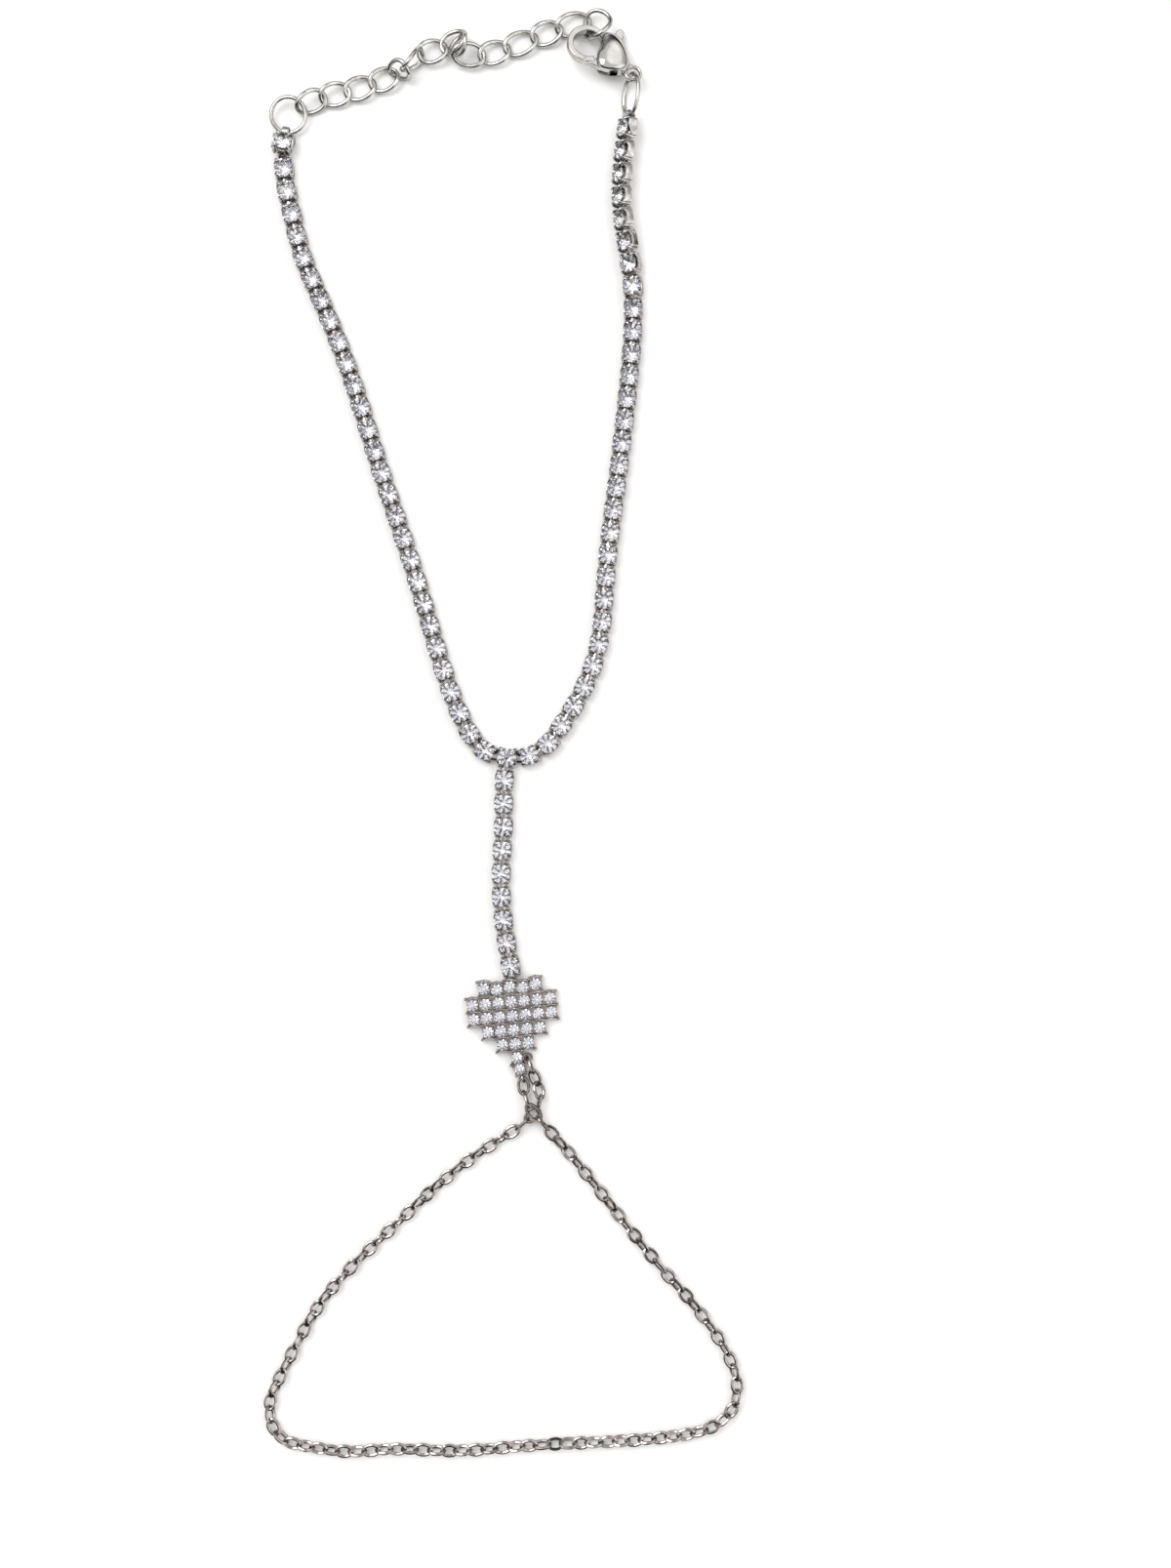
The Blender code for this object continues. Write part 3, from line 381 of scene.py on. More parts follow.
def foil_group():
    """Silver foil under a stone: white with faint lilac and ice blue patches, smooth with a few creases."""
    group, given, made = new_group(
        "foil_colours",
        {"White": (0.97, 0.97, 0.98, 1.0), "Lilac": (0.90, 0.87, 0.94, 1.0), "Ice": (0.90, 0.93, 0.96, 1.0),
         "Patches": 1200.0},
        {"Colour": COLOUR, "Roughness": NUMBER})
    where = add(group, "TexCoord").outputs["Object"]
    colour = given["White"]
    for name, shift in (("Lilac", 0.0), ("Ice", 0.013)):
        moved_on = add(group, "Mapping", {"Vector": where, "Location": (shift, -shift, shift)})
        patch = noise(group, moved_on.outputs["Vector"], given["Patches"], 1.0)
        colour = mixed(group, spread(group, patch, -0.6, 1.0), colour, given[name])
    fill(group, made, {"Colour": colour, "Roughness": spread(group, patch, 0.0, 0.05)})
    return group


PLATE, FOIL = plate_group(), foil_group()
print("groups", PLATE.name, FOIL.name)

# %% [markdown]
# ### The metals and the stone
#
# Stamped cups have the dullest gloss, because sheet is only tumbled. Wire is drawn and smoother. The clasp
# is cast and polished by hand, so it has the longest waves and the cleanest gloss. The fine chain, the bars
# between the cups and the heart's cells have a darker copy of the plate, painted shade, and the heart's
# beads and rails a lighter copy with less painted shade. A stone is glass over foil: light goes in through
# the crown, bounces between the foiled facets below, and comes out somewhere else, which is what makes it
# sparkle. So the crown is real glass with a plain transmission weight, and the pavilion a bright metal
# surface seen through it.
# Some facets send the light out sideways and look dark, and that dark is painted: a dark colour on them.

# %% Make the materials
METAL_TINT = (0.55, 0.55, 0.55, 1.0)


def new_material(name, inputs):
    """A material of one shader with its inputs filled, its tree and the shader."""
    material = bpy.data.materials.new(name)
    material.use_nodes = True
    shader = material.node_tree.nodes["Principled BSDF"]
    fill(material.node_tree, shader, inputs)
    return material, material.node_tree, shader


def coloured_by(tree, shader, group, inputs):
    """The group's node with its inputs filled, and the shader's colour and roughness taken from it."""
    node = add(tree, "Group", inputs, node_tree=group)
    fill(tree, shader, {"Base Color": node.outputs["Colour"], "Roughness": node.outputs["Roughness"]})
    return node


def plated(name, finish, bright, dull, bump, strength):
    """A metal whose colour, roughness and bump come from the polished plate group with its own values."""
    material, tree, shader = new_material(name, {"Metallic": 1.0, "Specular Tint": METAL_TINT})
    plate = coloured_by(tree, shader, PLATE, {**finish, "Bright": (*bright, 1.0), "Dull": (*dull, 1.0)})
    relief = add(tree, "Bump", {"Distance": bump * MM, "Strength": strength,
                                "Height": plate.outputs["Height"]})
    fill(tree, shader, {"Normal": relief.outputs["Normal"]})
    return material


def stone_glass():
    """Clear glass with a faint smear in its roughness."""
    material, tree, shader = new_material("stone_glass", {
        "Base Color": (0.985, 0.985, 1.0, 1.0), "IOR": 1.6, "Transmission Weight": 1.0})
    smear = noise(tree, add(tree, "TexCoord").outputs["Object"], 800.0, 2.0)
    fill(tree, shader, {"Roughness": spread(tree, smear, 0.0, 0.02)})
    return material


def stone_foil(name, white, lilac, ice):
    """The foil on a stone's lower facets, in three tints."""
    material, tree, shader = new_material(name, {"Metallic": 1.0})
    coloured_by(tree, shader, FOIL, {"White": (*white, 1.0), "Lilac": (*lilac, 1.0), "Ice": (*ice, 1.0)})
    return material


TUMBLED = {"Smooth": 0.12, "Rough": 0.30, "Patches": 1600.0, "Waves": 1400.0, "Scratches": 0.35}
DRAWN = {"Smooth": 0.06, "Rough": 0.20, "Patches": 1300.0, "Waves": 1500.0, "Scratches": 0.25}
POLISHED = {"Smooth": 0.04, "Rough": 0.12, "Patches": 500.0, "Waves": 450.0, "Scratches": 0.15}
STAMPED = plated("stamped_plate", TUMBLED, (0.58, 0.57, 0.56), (0.34, 0.33, 0.325), 0.02, 0.5)
WIRE = plated("drawn_wire_plate", DRAWN, (0.60, 0.59, 0.575), (0.40, 0.39, 0.38), 0.015, 0.5)
CAST = plated("cast_plate", POLISHED, (0.58, 0.57, 0.555), (0.45, 0.44, 0.425), 0.02, 0.4)
# The darker copy of the plate below is painted shade: it goes on the fine chain, the bars between the cups
# and the heart's cells.
SHADE_PAINTED_PLATE = plated("shade_painted_plate", DRAWN, (0.41, 0.38, 0.37), (0.225, 0.203, 0.196), 0.015, 0.5)
# The lighter copy below is for the heart's beads and rails on top, with less painted shade than the cells
# below them.
HALF_SHADE_PLATE = plated("heart_bead_half_shade_plate", DRAWN, (0.50, 0.47, 0.455), (0.29, 0.265, 0.255), 0.015, 0.5)
GLASS = stone_glass()
FOILED = stone_foil("stone_foil", (0.96, 0.96, 0.965), (0.88, 0.86, 0.91), (0.88, 0.905, 0.93))
# The dark foil below is a painted dark reflection: the dark spokes on every second narrow facet of a stone.
DARK_FACET_PAINT = stone_foil("stone_painted_dark_facets", (0.43, 0.42, 0.44), (0.17, 0.16, 0.19), (0.27, 0.28, 0.30))
print("materials", [m.name for m in (STAMPED, WIRE, CAST, SHADE_PAINTED_PLATE, HALF_SHADE_PLATE, GLASS, FOILED, DARK_FACET_PAINT)])

# %% [markdown]
# ## The routes
#
# The strands lie where the photograph shows them. Their routes are the same few points as in the CAD
# source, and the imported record's face on the heart's back says how far the whole was moved to centre it.
# The right strand's last cups lie rolled over on their sides, and the roll comes on smoothly before them.

# %% Routes of the three strands
CUP_PITCH = 2.75
CUP_HEIGHT = 1.45
CUP_LENGTH = 2.15
CUP_WIDTH = 2.35
HALF = CUP_LENGTH / 2.0
ROLL_ANGLE = 60.0
ROLL_STARTS = 23.0
ROLL_FULL = 10.0
HEART_PLACE = (1.2, -34.4)
LEFT_ROUTE = [(-26.6, 71.0), (-26.4, 67.0), (-25.6, 63.0), (-24.3, 57.8), (-22.2, 52.7), (-18.2, 42.5),
              (-14.9, 32.0), (-11.4, 21.5), (-8.1, 10.5), (-6.2, 4.6), (-4.2, 0.2), (-2.3, -2.2),
              (0.5, -3.1)]
RIGHT_ROUTE = [(0.5, -3.1), (3.1, -2.9), (5.3, -1.6), (7.0, 0.6), (9.9, 5.5), (11.3, 9.3), (12.5, 18.9),
               (13.8, 30.0), (15.1, 40.9), (15.8, 51.7), (15.4, 57.2), (14.6, 62.3), (14.5, 67.5),
               (15.1, 72.9)]
DROP_ROUTE = [(0.5, -3.1), (0.2, -5.8), (0.1, -10.8), (-0.2, -18.0), (0.1, -23.0), (0.95, -28.4)]

heart_back = next(m for m in frame["record"]["mounts"] if m["name"] == "heart_back")
SHIFT = np.array([heart_back["pos_m"][0] / MM - HEART_PLACE[0],
                  heart_back["pos_m"][1] / MM - HEART_PLACE[1], 0.0])


def moved(places):
    """The same frames, moved by what centred the whole."""
    places = np.array(places, float)
    places[..., :3, 3] += SHIFT
    return places


def cup_frames(stops, rolls):
    """A frame at the base of each cup, looking along the neighbours before and after it."""
    stops = np.asarray(stops, float)
    ends = np.vstack([2.0 * stops[0] - stops[1], stops, 2.0 * stops[-1] - stops[-2]])
    turn = np.radians(np.abs(np.broadcast_to(rolls, len(stops))))
    middle = CUP_HEIGHT / 2.0 * np.cos(turn) + CUP_WIDTH / 2.0 * np.sin(turn)
    places = frames_at(np.column_stack([stops, middle]), level(ends[2:] - ends[:-2], 0.0), rolls)
    places[:, :3, 3] -= places[:, :3, 2] * CUP_HEIGHT / 2.0
    return places


left_stops, right_stops, drop_stops = (
    even_steps(spline(points), CUP_PITCH) for points in (LEFT_ROUTE, RIGHT_ROUTE, DROP_ROUTE))
to_end = distances(spline(RIGHT_ROUTE))[-1] * (1.0 - np.linspace(0.0, 1.0, len(right_stops)))
rolled = np.clip((ROLL_STARTS - to_end) / (ROLL_STARTS - ROLL_FULL), 0.0, 1.0)
left_cups = cup_frames(left_stops, 0.0)
right_cups = cup_frames(right_stops, -ROLL_ANGLE * rolled ** 2 * (3.0 - 2.0 * rolled))
drop_cups = cup_frames(drop_stops, 0.0)
centre_cup = cup_frames(np.array([left_stops[-2], left_stops[-1], right_stops[1]]), 0.0)[1]
print("cups", len(left_cups) - 2, len(right_cups) - 2, len(drop_cups) - 1, "shift", SHIFT.round(3))

# %% [markdown]
# ## A claw cup
#
# A cup of this chain is stamped from sheet: a square tray with rounded corners, whose walls dip between
# the corners, and four claws that are pressed over the stone. The tray is one profile, out from the
# middle of the floor, up the wall, over the rim and down inside, scaled around a rounded square. The
# rim's height goes with the angle, so the wall is high at the claws and low between them.

# %% The tray and its claws
RIM_LOW = 0.92
RIM_HIGH = 1.34
CORNER_POWER = 5.0
CLAW_SECTION = superellipse(0.17, 0.20, 2.4, 8)
CLAW_SPOTS = [(x, y) for x in (-1.08, 1.08) for y in (-0.88, 0.88)]


def cup_tray(sides=32):
    """Rows of a rounded square scaled by the profile, z up to rim(t) = low + (high - low) sin(2t)^2.

    Each step of the profile has the square's scale, a height of its own and a share of the rim's height.
    """
    square = superellipse(CUP_LENGTH / 2.0, CUP_WIDTH / 2.0, CORNER_POWER, sides)
    rim = RIM_LOW + (RIM_HIGH - RIM_LOW) * np.sin(2.0 * angles_round(sides, 0.5)) ** 2
    profile = [(0.12, 0.0, 0.0), (0.93, 0.0, 0.0), (1.0, 0.06, 0.0), (1.0, 0.0, 0.5), (1.0, 0.0, 0.94),
               (0.965, 0.0, 1.0), (0.91, 0.0, 1.0), (0.88, 0.0, 0.94), (0.86, 0.4, 0.0), (0.12, 0.36, 0.0)]
    return tube([np.column_stack([scale * square, height + share * rim])
                 for scale, height, share in profile])


def claw(spot):
    """A round post that stands on a corner and bends in over the stone, tapering to its tip.

    Each step has the way inwards, the height and the share of the full section.
    """
    inward = -unit(np.array([*spot, 0.0]))
    steps = [(0.0, 0.15, 1.0), (0.0, 0.9, 1.0), (0.02, 1.3, 1.0), (0.10, 1.52, 0.95), (0.26, 1.67, 0.8),
             (0.42, 1.72, 0.6), (0.52, 1.70, 0.3)]
    path = np.array([(*spot, 0.0) + inward * step + UP * height for step, height, _ in steps])
    return carry(path, np.array([CLAW_SECTION * share for _, _, share in steps]), np.cross(inward, UP))


CUP = joined([cup_tray(), *[claw(spot) for spot in CLAW_SPOTS]])
print("cup faces", len(CUP.sizes))

# %% [markdown]
# ## A cut stone
#
# A round brilliant has three belts. The crown is a flat table, eight star facets, eight kites and sixteen
# small facets down to the girdle. The pavilion below has sixteen narrow facets and eight long ones that
# meet in a point. A kite is flat when its two side corners lie on the slope from the table to the girdle,
# so their height follows from their reach. Only the crown is glass. The pavilion carries the foil, and
# every second one of its narrow facets a dark colour, a painted dark reflection that gives the stone its
# dark spokes.

# %% The brilliant
def brilliant(girdle, table, crown, pavilion, belt=0.05):
    """A round brilliant about z with its girdle's top at z = 0: radii, crown height, pavilion depth."""
    half = math.cos(math.pi / 8.0)
    star = table + (girdle - table) * 0.42
    slope = crown / (girdle - table)
    low = girdle * 0.22
    points = np.concatenate([
        level(circle(table, 8), crown),
        level(circle(star / half, 8, 0.5), crown - (star - table) * slope),
        level(circle(girdle, 16), 0.0),
        level(circle(girdle, 16), -belt),
        level(circle(low / half, 8, 0.5), -belt - pavilion * (1.0 - low / girdle)),
        [(0.0, 0.0, -belt - pavilion)]])
    k = np.arange(8)
    j = np.arange(16)
    table_at, star_at, top, under, low_at, tip = 0, 8, 16, 32, 48, 56
    edge, mid, edge_next = 2 * k, 2 * k + 1, (2 * k + 2) % 16
    belts = [
        (k[:, None], 0),
        ([table_at + k, star_at + k, table_at + (k + 1) % 8], 0),
        ([table_at + k, star_at + (k - 1) % 8, top + edge, star_at + k], 0),
        ([star_at + k, top + edge, top + mid], 0),
        ([star_at + k, top + mid, top + edge_next], 0),
        ([top + j, under + j, under + (j + 1) % 16, top + (j + 1) % 16], 0),
        # Paint 2 below is the dark colour on every second narrow facet, a painted dark reflection.
        ([low_at + k, under + mid, under + edge], 2),
        ([low_at + k, under + edge_next, under + mid], 3),
        ([np.full(8, tip), low_at + k, under + edge, low_at + (k - 1) % 8], 1)]
    belts = [(np.stack(corners, axis=-1), paint) for corners, paint in belts]
    return Skin(points, np.concatenate([faces.ravel() for faces, _ in belts]),
                np.concatenate([np.full(len(faces), faces.shape[1]) for faces, _ in belts]),
                np.concatenate([np.full(len(faces), paint) for faces, paint in belts]))


STONE = brilliant(girdle=1.12, table=0.64, crown=0.38, pavilion=0.86)
print("stone facets", len(STONE.sizes))

# %% [markdown]
# ## The strands
#
# Each strand is its cups, the bars that link them, and its stones. Hand-set stones never sit quite alike:
# each is turned by chance and tipped by a degree or two, and that is why neighbours flash differently.
# The chance has a fixed seed, so that every run gives the same bracelet.

# %% Set the strands
SEED = 7
STONE_TIP = 2.2
BAR_MIDDLE = 0.6
BAR_LENGTH = 0.95
bar_section = superellipse(0.52, 0.30, 2.4, 10) @ [(0.0, 1.0, 0.0), (0.0, 0.0, 1.0)]
BAR = tube([bar_section + (x, 0.0, 0.0) for x in (-BAR_LENGTH / 2.0, 0.0, BAR_LENGTH / 2.0)])
# The bars take the darker copy of the plate: painted shade between the cups.
BAR.paint[:] = 1
chance = np.random.default_rng(SEED)


def seats(cups, height):
    """Frames for stones in cups: lifted to the girdle, turned and tipped by chance."""
    cups = np.reshape(cups, (-1, 4, 4))
    count = len(cups)
    spin = chance.uniform(0.0, 45.0, count)
    lean = turned(chance.uniform(0.0, 360.0, count))
    tipped = frames_at(np.zeros((count, 3)), dip=chance.normal(0.0, STONE_TIP, count))
    made = cups @ lean @ tipped @ turned(spin)
    made[:, :3, 3] = cups[:, :3, 3] + cups[:, :3, 2] * height
    return made


def put_stones(name, stone, places):
    """The stone in each frame, its crown of glass and its pavilion in the foil, with a painted dark
    reflection on every second narrow facet.
    """
    put_mesh(name, copies(stone, places), [GLASS, FOILED, DARK_FACET_PAINT, FOILED], slot="clear_stone", sharp=1.0)


def port(places, x):
    """The point at bar height on a cup's wall, in every frame given."""
    return places[..., :3, :3] @ (x, 0.0, BAR_MIDDLE) + places[..., :3, 3]


def strand(name, cups, first, last):
    """The cups, bars and stones of one strand: first and last are the points that its end bars reach for.

    A bar is midway between the two points that it links, turned to lie along them.
    """
    starts = np.vstack([first, port(cups, HALF)])
    ends = np.vstack([port(cups, -HALF), last])
    ups = np.vstack([cups[0, :3, 2], cups[:, :3, 2]])
    bars = copies(BAR, frames_at((starts + ends) / 2.0, ends - starts, up=ups))
    # The cups take the stamped plate, and the bars the darker copy that is painted shade.
    put_mesh(name + "_cups", joined([copies(CUP, cups), bars]), [STAMPED, SHADE_PAINTED_PLATE], name)
    put_stones(name + "_stones", STONE, seats(cups, CUP_HEIGHT))


END_CUP_YAW = -12.0
END_CUP_DIP = 18.0
TAB_THICKNESS = 0.16
STRAP_HOLE = 0.5
STRAP_THICKNESS = 0.22
STRAP_WIDTH = 0.85
STRAP_REACH = 0.44
STRAP_MIDDLE = np.array([HALF + STRAP_REACH, 0.0, STRAP_HOLE + STRAP_THICKNESS])
HEART_TURN = 5.6
HEART_COLUMN = 1.575
HEART_ROW = 1.70
HEART_TOP = 2.5
TOP_STEPS = np.array([0.2, -0.12, 0.12, -0.12, 0.2])

away = turned(END_CUP_YAW)[0, :3, :3] @ (*(left_stops[0] - left_stops[1]), 0.0)
left_end = frames_at((*left_stops[0], 0.0), away, 0.0, END_CUP_DIP)[0]
left_end[2, 3] = STRAP_MIDDLE[2] - left_end[2, :3] @ STRAP_MIDDLE
right_end = right_cups[-1].copy()
right_end[2, 3] += TAB_THICKNESS * math.sin(math.radians(ROLL_ANGLE))
heart_place = turned(HEART_TURN, (*HEART_PLACE, 0.0))[0]

left_cups, right_cups, drop_cups, centre_cup, left_end, right_end, heart_place = (
    moved(places) for places in (left_cups[1:-1], right_cups[1:-1], drop_cups[1:], centre_cup, left_end,
                                 right_end, heart_place))
strand("left_strand", left_cups, port(left_end, -HALF), port(centre_cup, -HALF))
strand("right_strand", right_cups, port(centre_cup, HALF), port(right_end, -HALF))
heart_top = put(heart_place, (0.0, HEART_TOP * HEART_ROW + TOP_STEPS[2], BAR_MIDDLE))
strand("drop_strand", np.concatenate([centre_cup[None] @ turned(-90.0), drop_cups]),
       port(centre_cup, 0.0), heart_top)

# %% [markdown]
# ## The end cups
#
# At both ends of the wrist strand the last cup carries a strap: a strip of sheet folded round into a loop,
# whose two sides run back along the cup as pointed tabs. The loop is a flat section carried round a
# circle, and the tabs are thin plates with their edges rounded over.

# %% Fold the end cups
def rounded(points, times=3):
    """Cut every corner of a closed outline a quarter from each side, and again: it nears a smooth curve."""
    points = np.asarray(points, float)
    for _ in range(times):
        after = np.roll(points, -1, axis=0)
        points = np.stack([0.75 * points + 0.25 * after, 0.25 * points + 0.75 * after], axis=1)
        points = points.reshape(-1, points.shape[-1])
    return points


def inset(outline, by):
    """A closed outline moved inwards, square to the line between each point's two neighbours."""
    ahead = unit(np.roll(outline, -1, axis=0) - np.roll(outline, 1, axis=0))
    return outline + by * np.column_stack([-ahead[:, 1], ahead[:, 0]])


QUARTER = np.linspace(0.0, np.pi / 2.0, 4)


def slab(outline, low, high, edge):
    """A plate of an anticlockwise outline whose two rims are quarter circles of the edge's radius.

    For a from 0 to 90 degrees a rim is inset by edge * (1 - sin a) and is edge * (1 - cos a) from its face.
    """
    ins = edge * np.concatenate([[1.2], 1.0 - np.sin(QUARTER), 1.0 - np.cos(QUARTER), [1.2]])
    rise = edge * (1.0 - np.cos(QUARTER))
    heights = np.concatenate([[low], low + rise, high - rise[::-1], [high]])
    return stacked([(inset(outline, by), z) for by, z in zip(ins, heights)])


TAB = [(0.95, 0.12), (0.95, CUP_HEIGHT - 0.12), (0.5, CUP_HEIGHT - 0.12), (0.12, CUP_HEIGHT - 0.12),
       (-0.55, 1.0), (-0.95, 0.725), (-0.55, 0.45), (0.12, 0.12), (0.5, 0.12)]
loop_path = level(circle(STRAP_HOLE + STRAP_THICKNESS / 2.0, 32), 0.0)[:, [0, 2, 1]] + STRAP_MIDDLE
strap = superellipse(STRAP_THICKNESS / 2.0, STRAP_WIDTH / 2.0, 4.0, 12)
tab = slab(rounded(TAB, 2), -TAB_THICKNESS, TAB_THICKNESS, 0.07)
cup_sides = frames_at([(0.0, -CUP_WIDTH / 2.0, 0.0), (0.0, CUP_WIDTH / 2.0, 0.0)], roll=90.0)
END_CUP = joined([CUP, carry(loop_path, strap, (0.0, 1.0, 0.0), ring=True), copies(tab, cup_sides)])
for side, place in (("left", left_end), ("right", right_end)):
    put_mesh(side + "_end_cup_metal", copies(END_CUP, place), [STAMPED], side + "_end_cup")
    put_stones(side + "_end_stone", STONE, seats(place, CUP_HEIGHT))

# %% [markdown]
# ## Rings and the extender
#
# A jump ring is round wire bent into a ring and closed. The extender is a curb chain: each oval link is
# twisted a little, z = -c sin 2t, so that the chain lies flat, and neighbours hook through each other. A
# link's two ends reach half a wire past the points where it meets its neighbours, so that wires touch.

# %% Bend the rings and the links
def wire(path, up, thickness, sides, ring=True):
    """Round wire along a path: a circle of the wire's radius carried along it."""
    return carry(path, circle(thickness / 2.0, sides, 0.5), up, ring)


def loop_of(middle, reach, rise, steps):
    """An oval round a middle: p = middle + cos t * reach + sin t * rise."""
    t = angles_round(steps)[:, None]
    return middle + np.cos(t) * reach + np.sin(t) * rise


def oval(half_length, half_width, steps, twist=0.0):
    """An oval path x = a cos t, y = b sin t, twisted by z = -c sin 2t."""
    t = angles_round(steps)
    return np.column_stack([half_length * np.cos(t), half_width * np.sin(t), -twist * np.sin(2.0 * t)])


# Shares of the wire: how far a link reaches past its joints, and a chain's first joint past its ring.
TOUCH = 0.49
HOOKED = 0.4


def links(joints, thickness, width, rolls, steps, sides, twist=0.0):
    """Links between joints, all the same oval but for their length, each rolled by its own angle."""
    joints = np.asarray(joints, float)
    spans = np.diff(joints, axis=0)
    places = frames_at((joints[1:] + joints[:-1]) / 2.0, spans, rolls)
    halves = np.linalg.norm(spans, axis=1) / 2.0 + thickness * TOUCH
    return joined([
        copies(wire(oval(half, (width - thickness) / 2.0, steps, twist), UP, thickness, sides), place)
        for half, place in zip(halves, places)])


RING_WIRE = 0.52
EXTENDER_WIRE = 0.56
EXTENDER_WIDTH = 3.2
EXTENDER_TWIST = 0.25
EXTENDER_LIFT = 0.05
LEFT_RING_RADIUS = 2.1
LEFT_RING_RISE = math.radians(9.0)
GAP = 0.2
EXTENDER_JOINTS = [(-21.8, 76.9, 0.9), (-18.8, 77.5, 0.65), (-15.8, 78.5, 0.65), (-13.0, 79.6, 0.7),
                   (-11.8, 80.1, 2.44), (-9.9, 82.0, 0.95), (-7.1, 82.8, 0.8), (-4.7, 84.0, 1.9),
                   (-5.7, 82.0, 1.5), (-2.5, 81.8, 0.8), (0.5, 82.8, 0.65), (3.8, 84.1, 0.65),
                   (6.8, 85.2, 0.7)]
EXTENDER_ROLLS = (36.0, 14.0, 0.0, 0.0, 35.0, 80.0, 0.0, -20.0, 50.0, 15.0, 0.0, 0.0, 4.0, 9.0)

ring_away = np.array([*unit(left_end[:2, 0]) * math.cos(LEFT_RING_RISE), math.sin(LEFT_RING_RISE)])
ring_side = left_end[:3, 1]
ring_middle = put(left_end, STRAP_MIDDLE) + ring_away * LEFT_RING_RADIUS
ring_path = loop_of(ring_middle, LEFT_RING_RADIUS * ring_away, LEFT_RING_RADIUS * ring_side, 48)
put_mesh("left_ring", wire(ring_path, np.cross(ring_away, ring_side), RING_WIRE, 12), [WIRE],
         "left_jump_ring")

# %% [markdown]
# ## The clasp's own frame
#
# The clasp lies tilted on its pad, with its hook towards the extender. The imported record's joint says
# where the lever's pin is and which way it points, so the clasp is drawn in its own flat frame, hook
# centre at the origin, and placed by that pin. The extender's end link goes round the hook's band, and the
# right jump ring is an oval from the clasp's eye to the right end cup's loop.

# %% Find the clasp and thread the end link on its hook
CLASP_HEADING = 147.5
CLASP_TILT = 18.0
PIVOT = np.array([-3.5, 1.1, 0.0])
HOOK_RADIUS = 2.15
HOOK_BAND = 0.72
HOOK_HEIGHT = 1.0
EYE_REACH = 6.45
END_LINK_HALF = 1.73
END_LINK_TWIST = -0.42
END_LINK_LIFT = 0.19
END_LINK_ROLL = -32.0
END_LINK_SLACK = 0.15
THREADED_AT = -80.0
HELD_AT = math.radians(85.0)
HOOKED_AT = math.radians(-46.0)
RIGHT_RING_HALF = 1.65
RIGHT_RING_LEAN = 60.0

hinge = frame["joints"][0]
clasp_place = frames_at((0.0, 0.0, 0.0), heading(CLASP_HEADING), CLASP_TILT)[0]
clasp_place[:3, 3] = np.array(hinge["pos_m"]) / MM - clasp_place[:3, :3] @ PIVOT
print("pin direction off by", np.abs(clasp_place[:3, 2] + np.array(hinge["axis"])).max().round(6))

ray = heading(THREADED_AT)
inner = put(clasp_place,
            ray * (HOOK_RADIUS - HOOK_BAND / 2.0 - EXTENDER_WIRE / 2.0 - GAP - END_LINK_SLACK))
band = put(clasp_place, ray * HOOK_RADIUS)
out = unit((*(band - inner)[:2], 0.0))
end_place = frames_at((*(inner + out * END_LINK_HALF)[:2], band[2] + END_LINK_LIFT), out, END_LINK_ROLL)[0]
held = put(end_place, (END_LINK_HALF * math.cos(HELD_AT), END_LINK_HALF * math.sin(HELD_AT),
                       -END_LINK_TWIST * math.sin(2.0 * HELD_AT)))
joints = np.array(EXTENDER_JOINTS) + SHIFT + UP * EXTENDER_LIFT
hook = EXTENDER_WIRE * HOOKED
first = ring_middle + (ring_away * math.cos(HOOKED_AT) + ring_side * math.sin(HOOKED_AT)) * (
    LEFT_RING_RADIUS - RING_WIRE / 2.0 - EXTENDER_WIRE / 2.0 - GAP + hook)
held = held + unit(held - joints[-1]) * hook
run = links(np.vstack([first, joints, held]), EXTENDER_WIRE, EXTENDER_WIDTH, EXTENDER_ROLLS, 32, 10,
            EXTENDER_TWIST)
end_link = copies(wire(oval(END_LINK_HALF, END_LINK_HALF, 40, END_LINK_TWIST), UP, EXTENDER_WIRE, 10),
                  end_place)
put_mesh("extender_links", joined([run, end_link]), [WIRE], "extender_chain")

eye = put(clasp_place, (-EYE_REACH, 0.0, 0.0))
loop = put(right_end, STRAP_MIDDLE)
long_axis = unit(eye - loop)
short = heading(RIGHT_RING_LEAN)[[0, 2, 1]]
short = unit(short - long_axis * (short @ long_axis))
ring_path = loop_of((eye + loop) / 2.0, (eye - loop) / 2.0, RIGHT_RING_HALF * short, 48)
put_mesh("right_ring", wire(ring_path, np.cross(long_axis, short), RING_WIRE, 12), [WIRE],
         "right_jump_ring")

# %% [markdown]
# ## The clasp
#
# The clasp is cast in two parts. The body has the hook, a broad band bent three quarters round, the root
# that the band grows from, two domed teardrop cheeks with the lever's slot between them, and the eye. The
# band is one rounded box section carried round the hook's circle, up to the mouth. The cheeks are outlines
# with their corners cut smooth, raised into a dome by shrinking them towards their middle as they rise.

# %% Cast the clasp's body
PAD = [(-5.0, -0.5), (-4.4, -1.45), (-3.5, -2.15), (-2.5, -2.5), (-1.9, -2.3), (-1.7, -1.4), (-1.8, -0.3),
       (-1.95, 0.7), (-2.75, 1.75), (-3.7, 1.7), (-4.6, 1.05), (-5.0, 0.4)]
ROOT = [(-1.72, -2.9), (-1.4, -2.95), (-0.75, -2.5), (-0.85, -1.6), (-1.3, -1.2), (-1.5, -0.3),
        (-1.6, 0.47), (-2.06, 0.47), (-2.2, -0.5), (-1.69, -2.0)]
NECK = [(-5.6, -0.6), (-5.3, -0.95), (-4.9, -0.85), (-4.68, 0.2), (-4.78, 1.1), (-5.3, 0.85),
        (-5.6, 0.6)]
BRIM = [(-5.4, -0.55), (-4.5, -1.7), (-3.45, -2.58), (-2.4, -2.92), (-1.45, -2.88), (-0.98, -1.9),
        (-1.42, -0.5), (-1.62, 0.9), (-2.7, 2.12), (-3.8, 1.9), (-4.85, 1.18), (-5.4, 0.5)]
PAD_HALF = 1.25
SLOT_HALF = 0.545
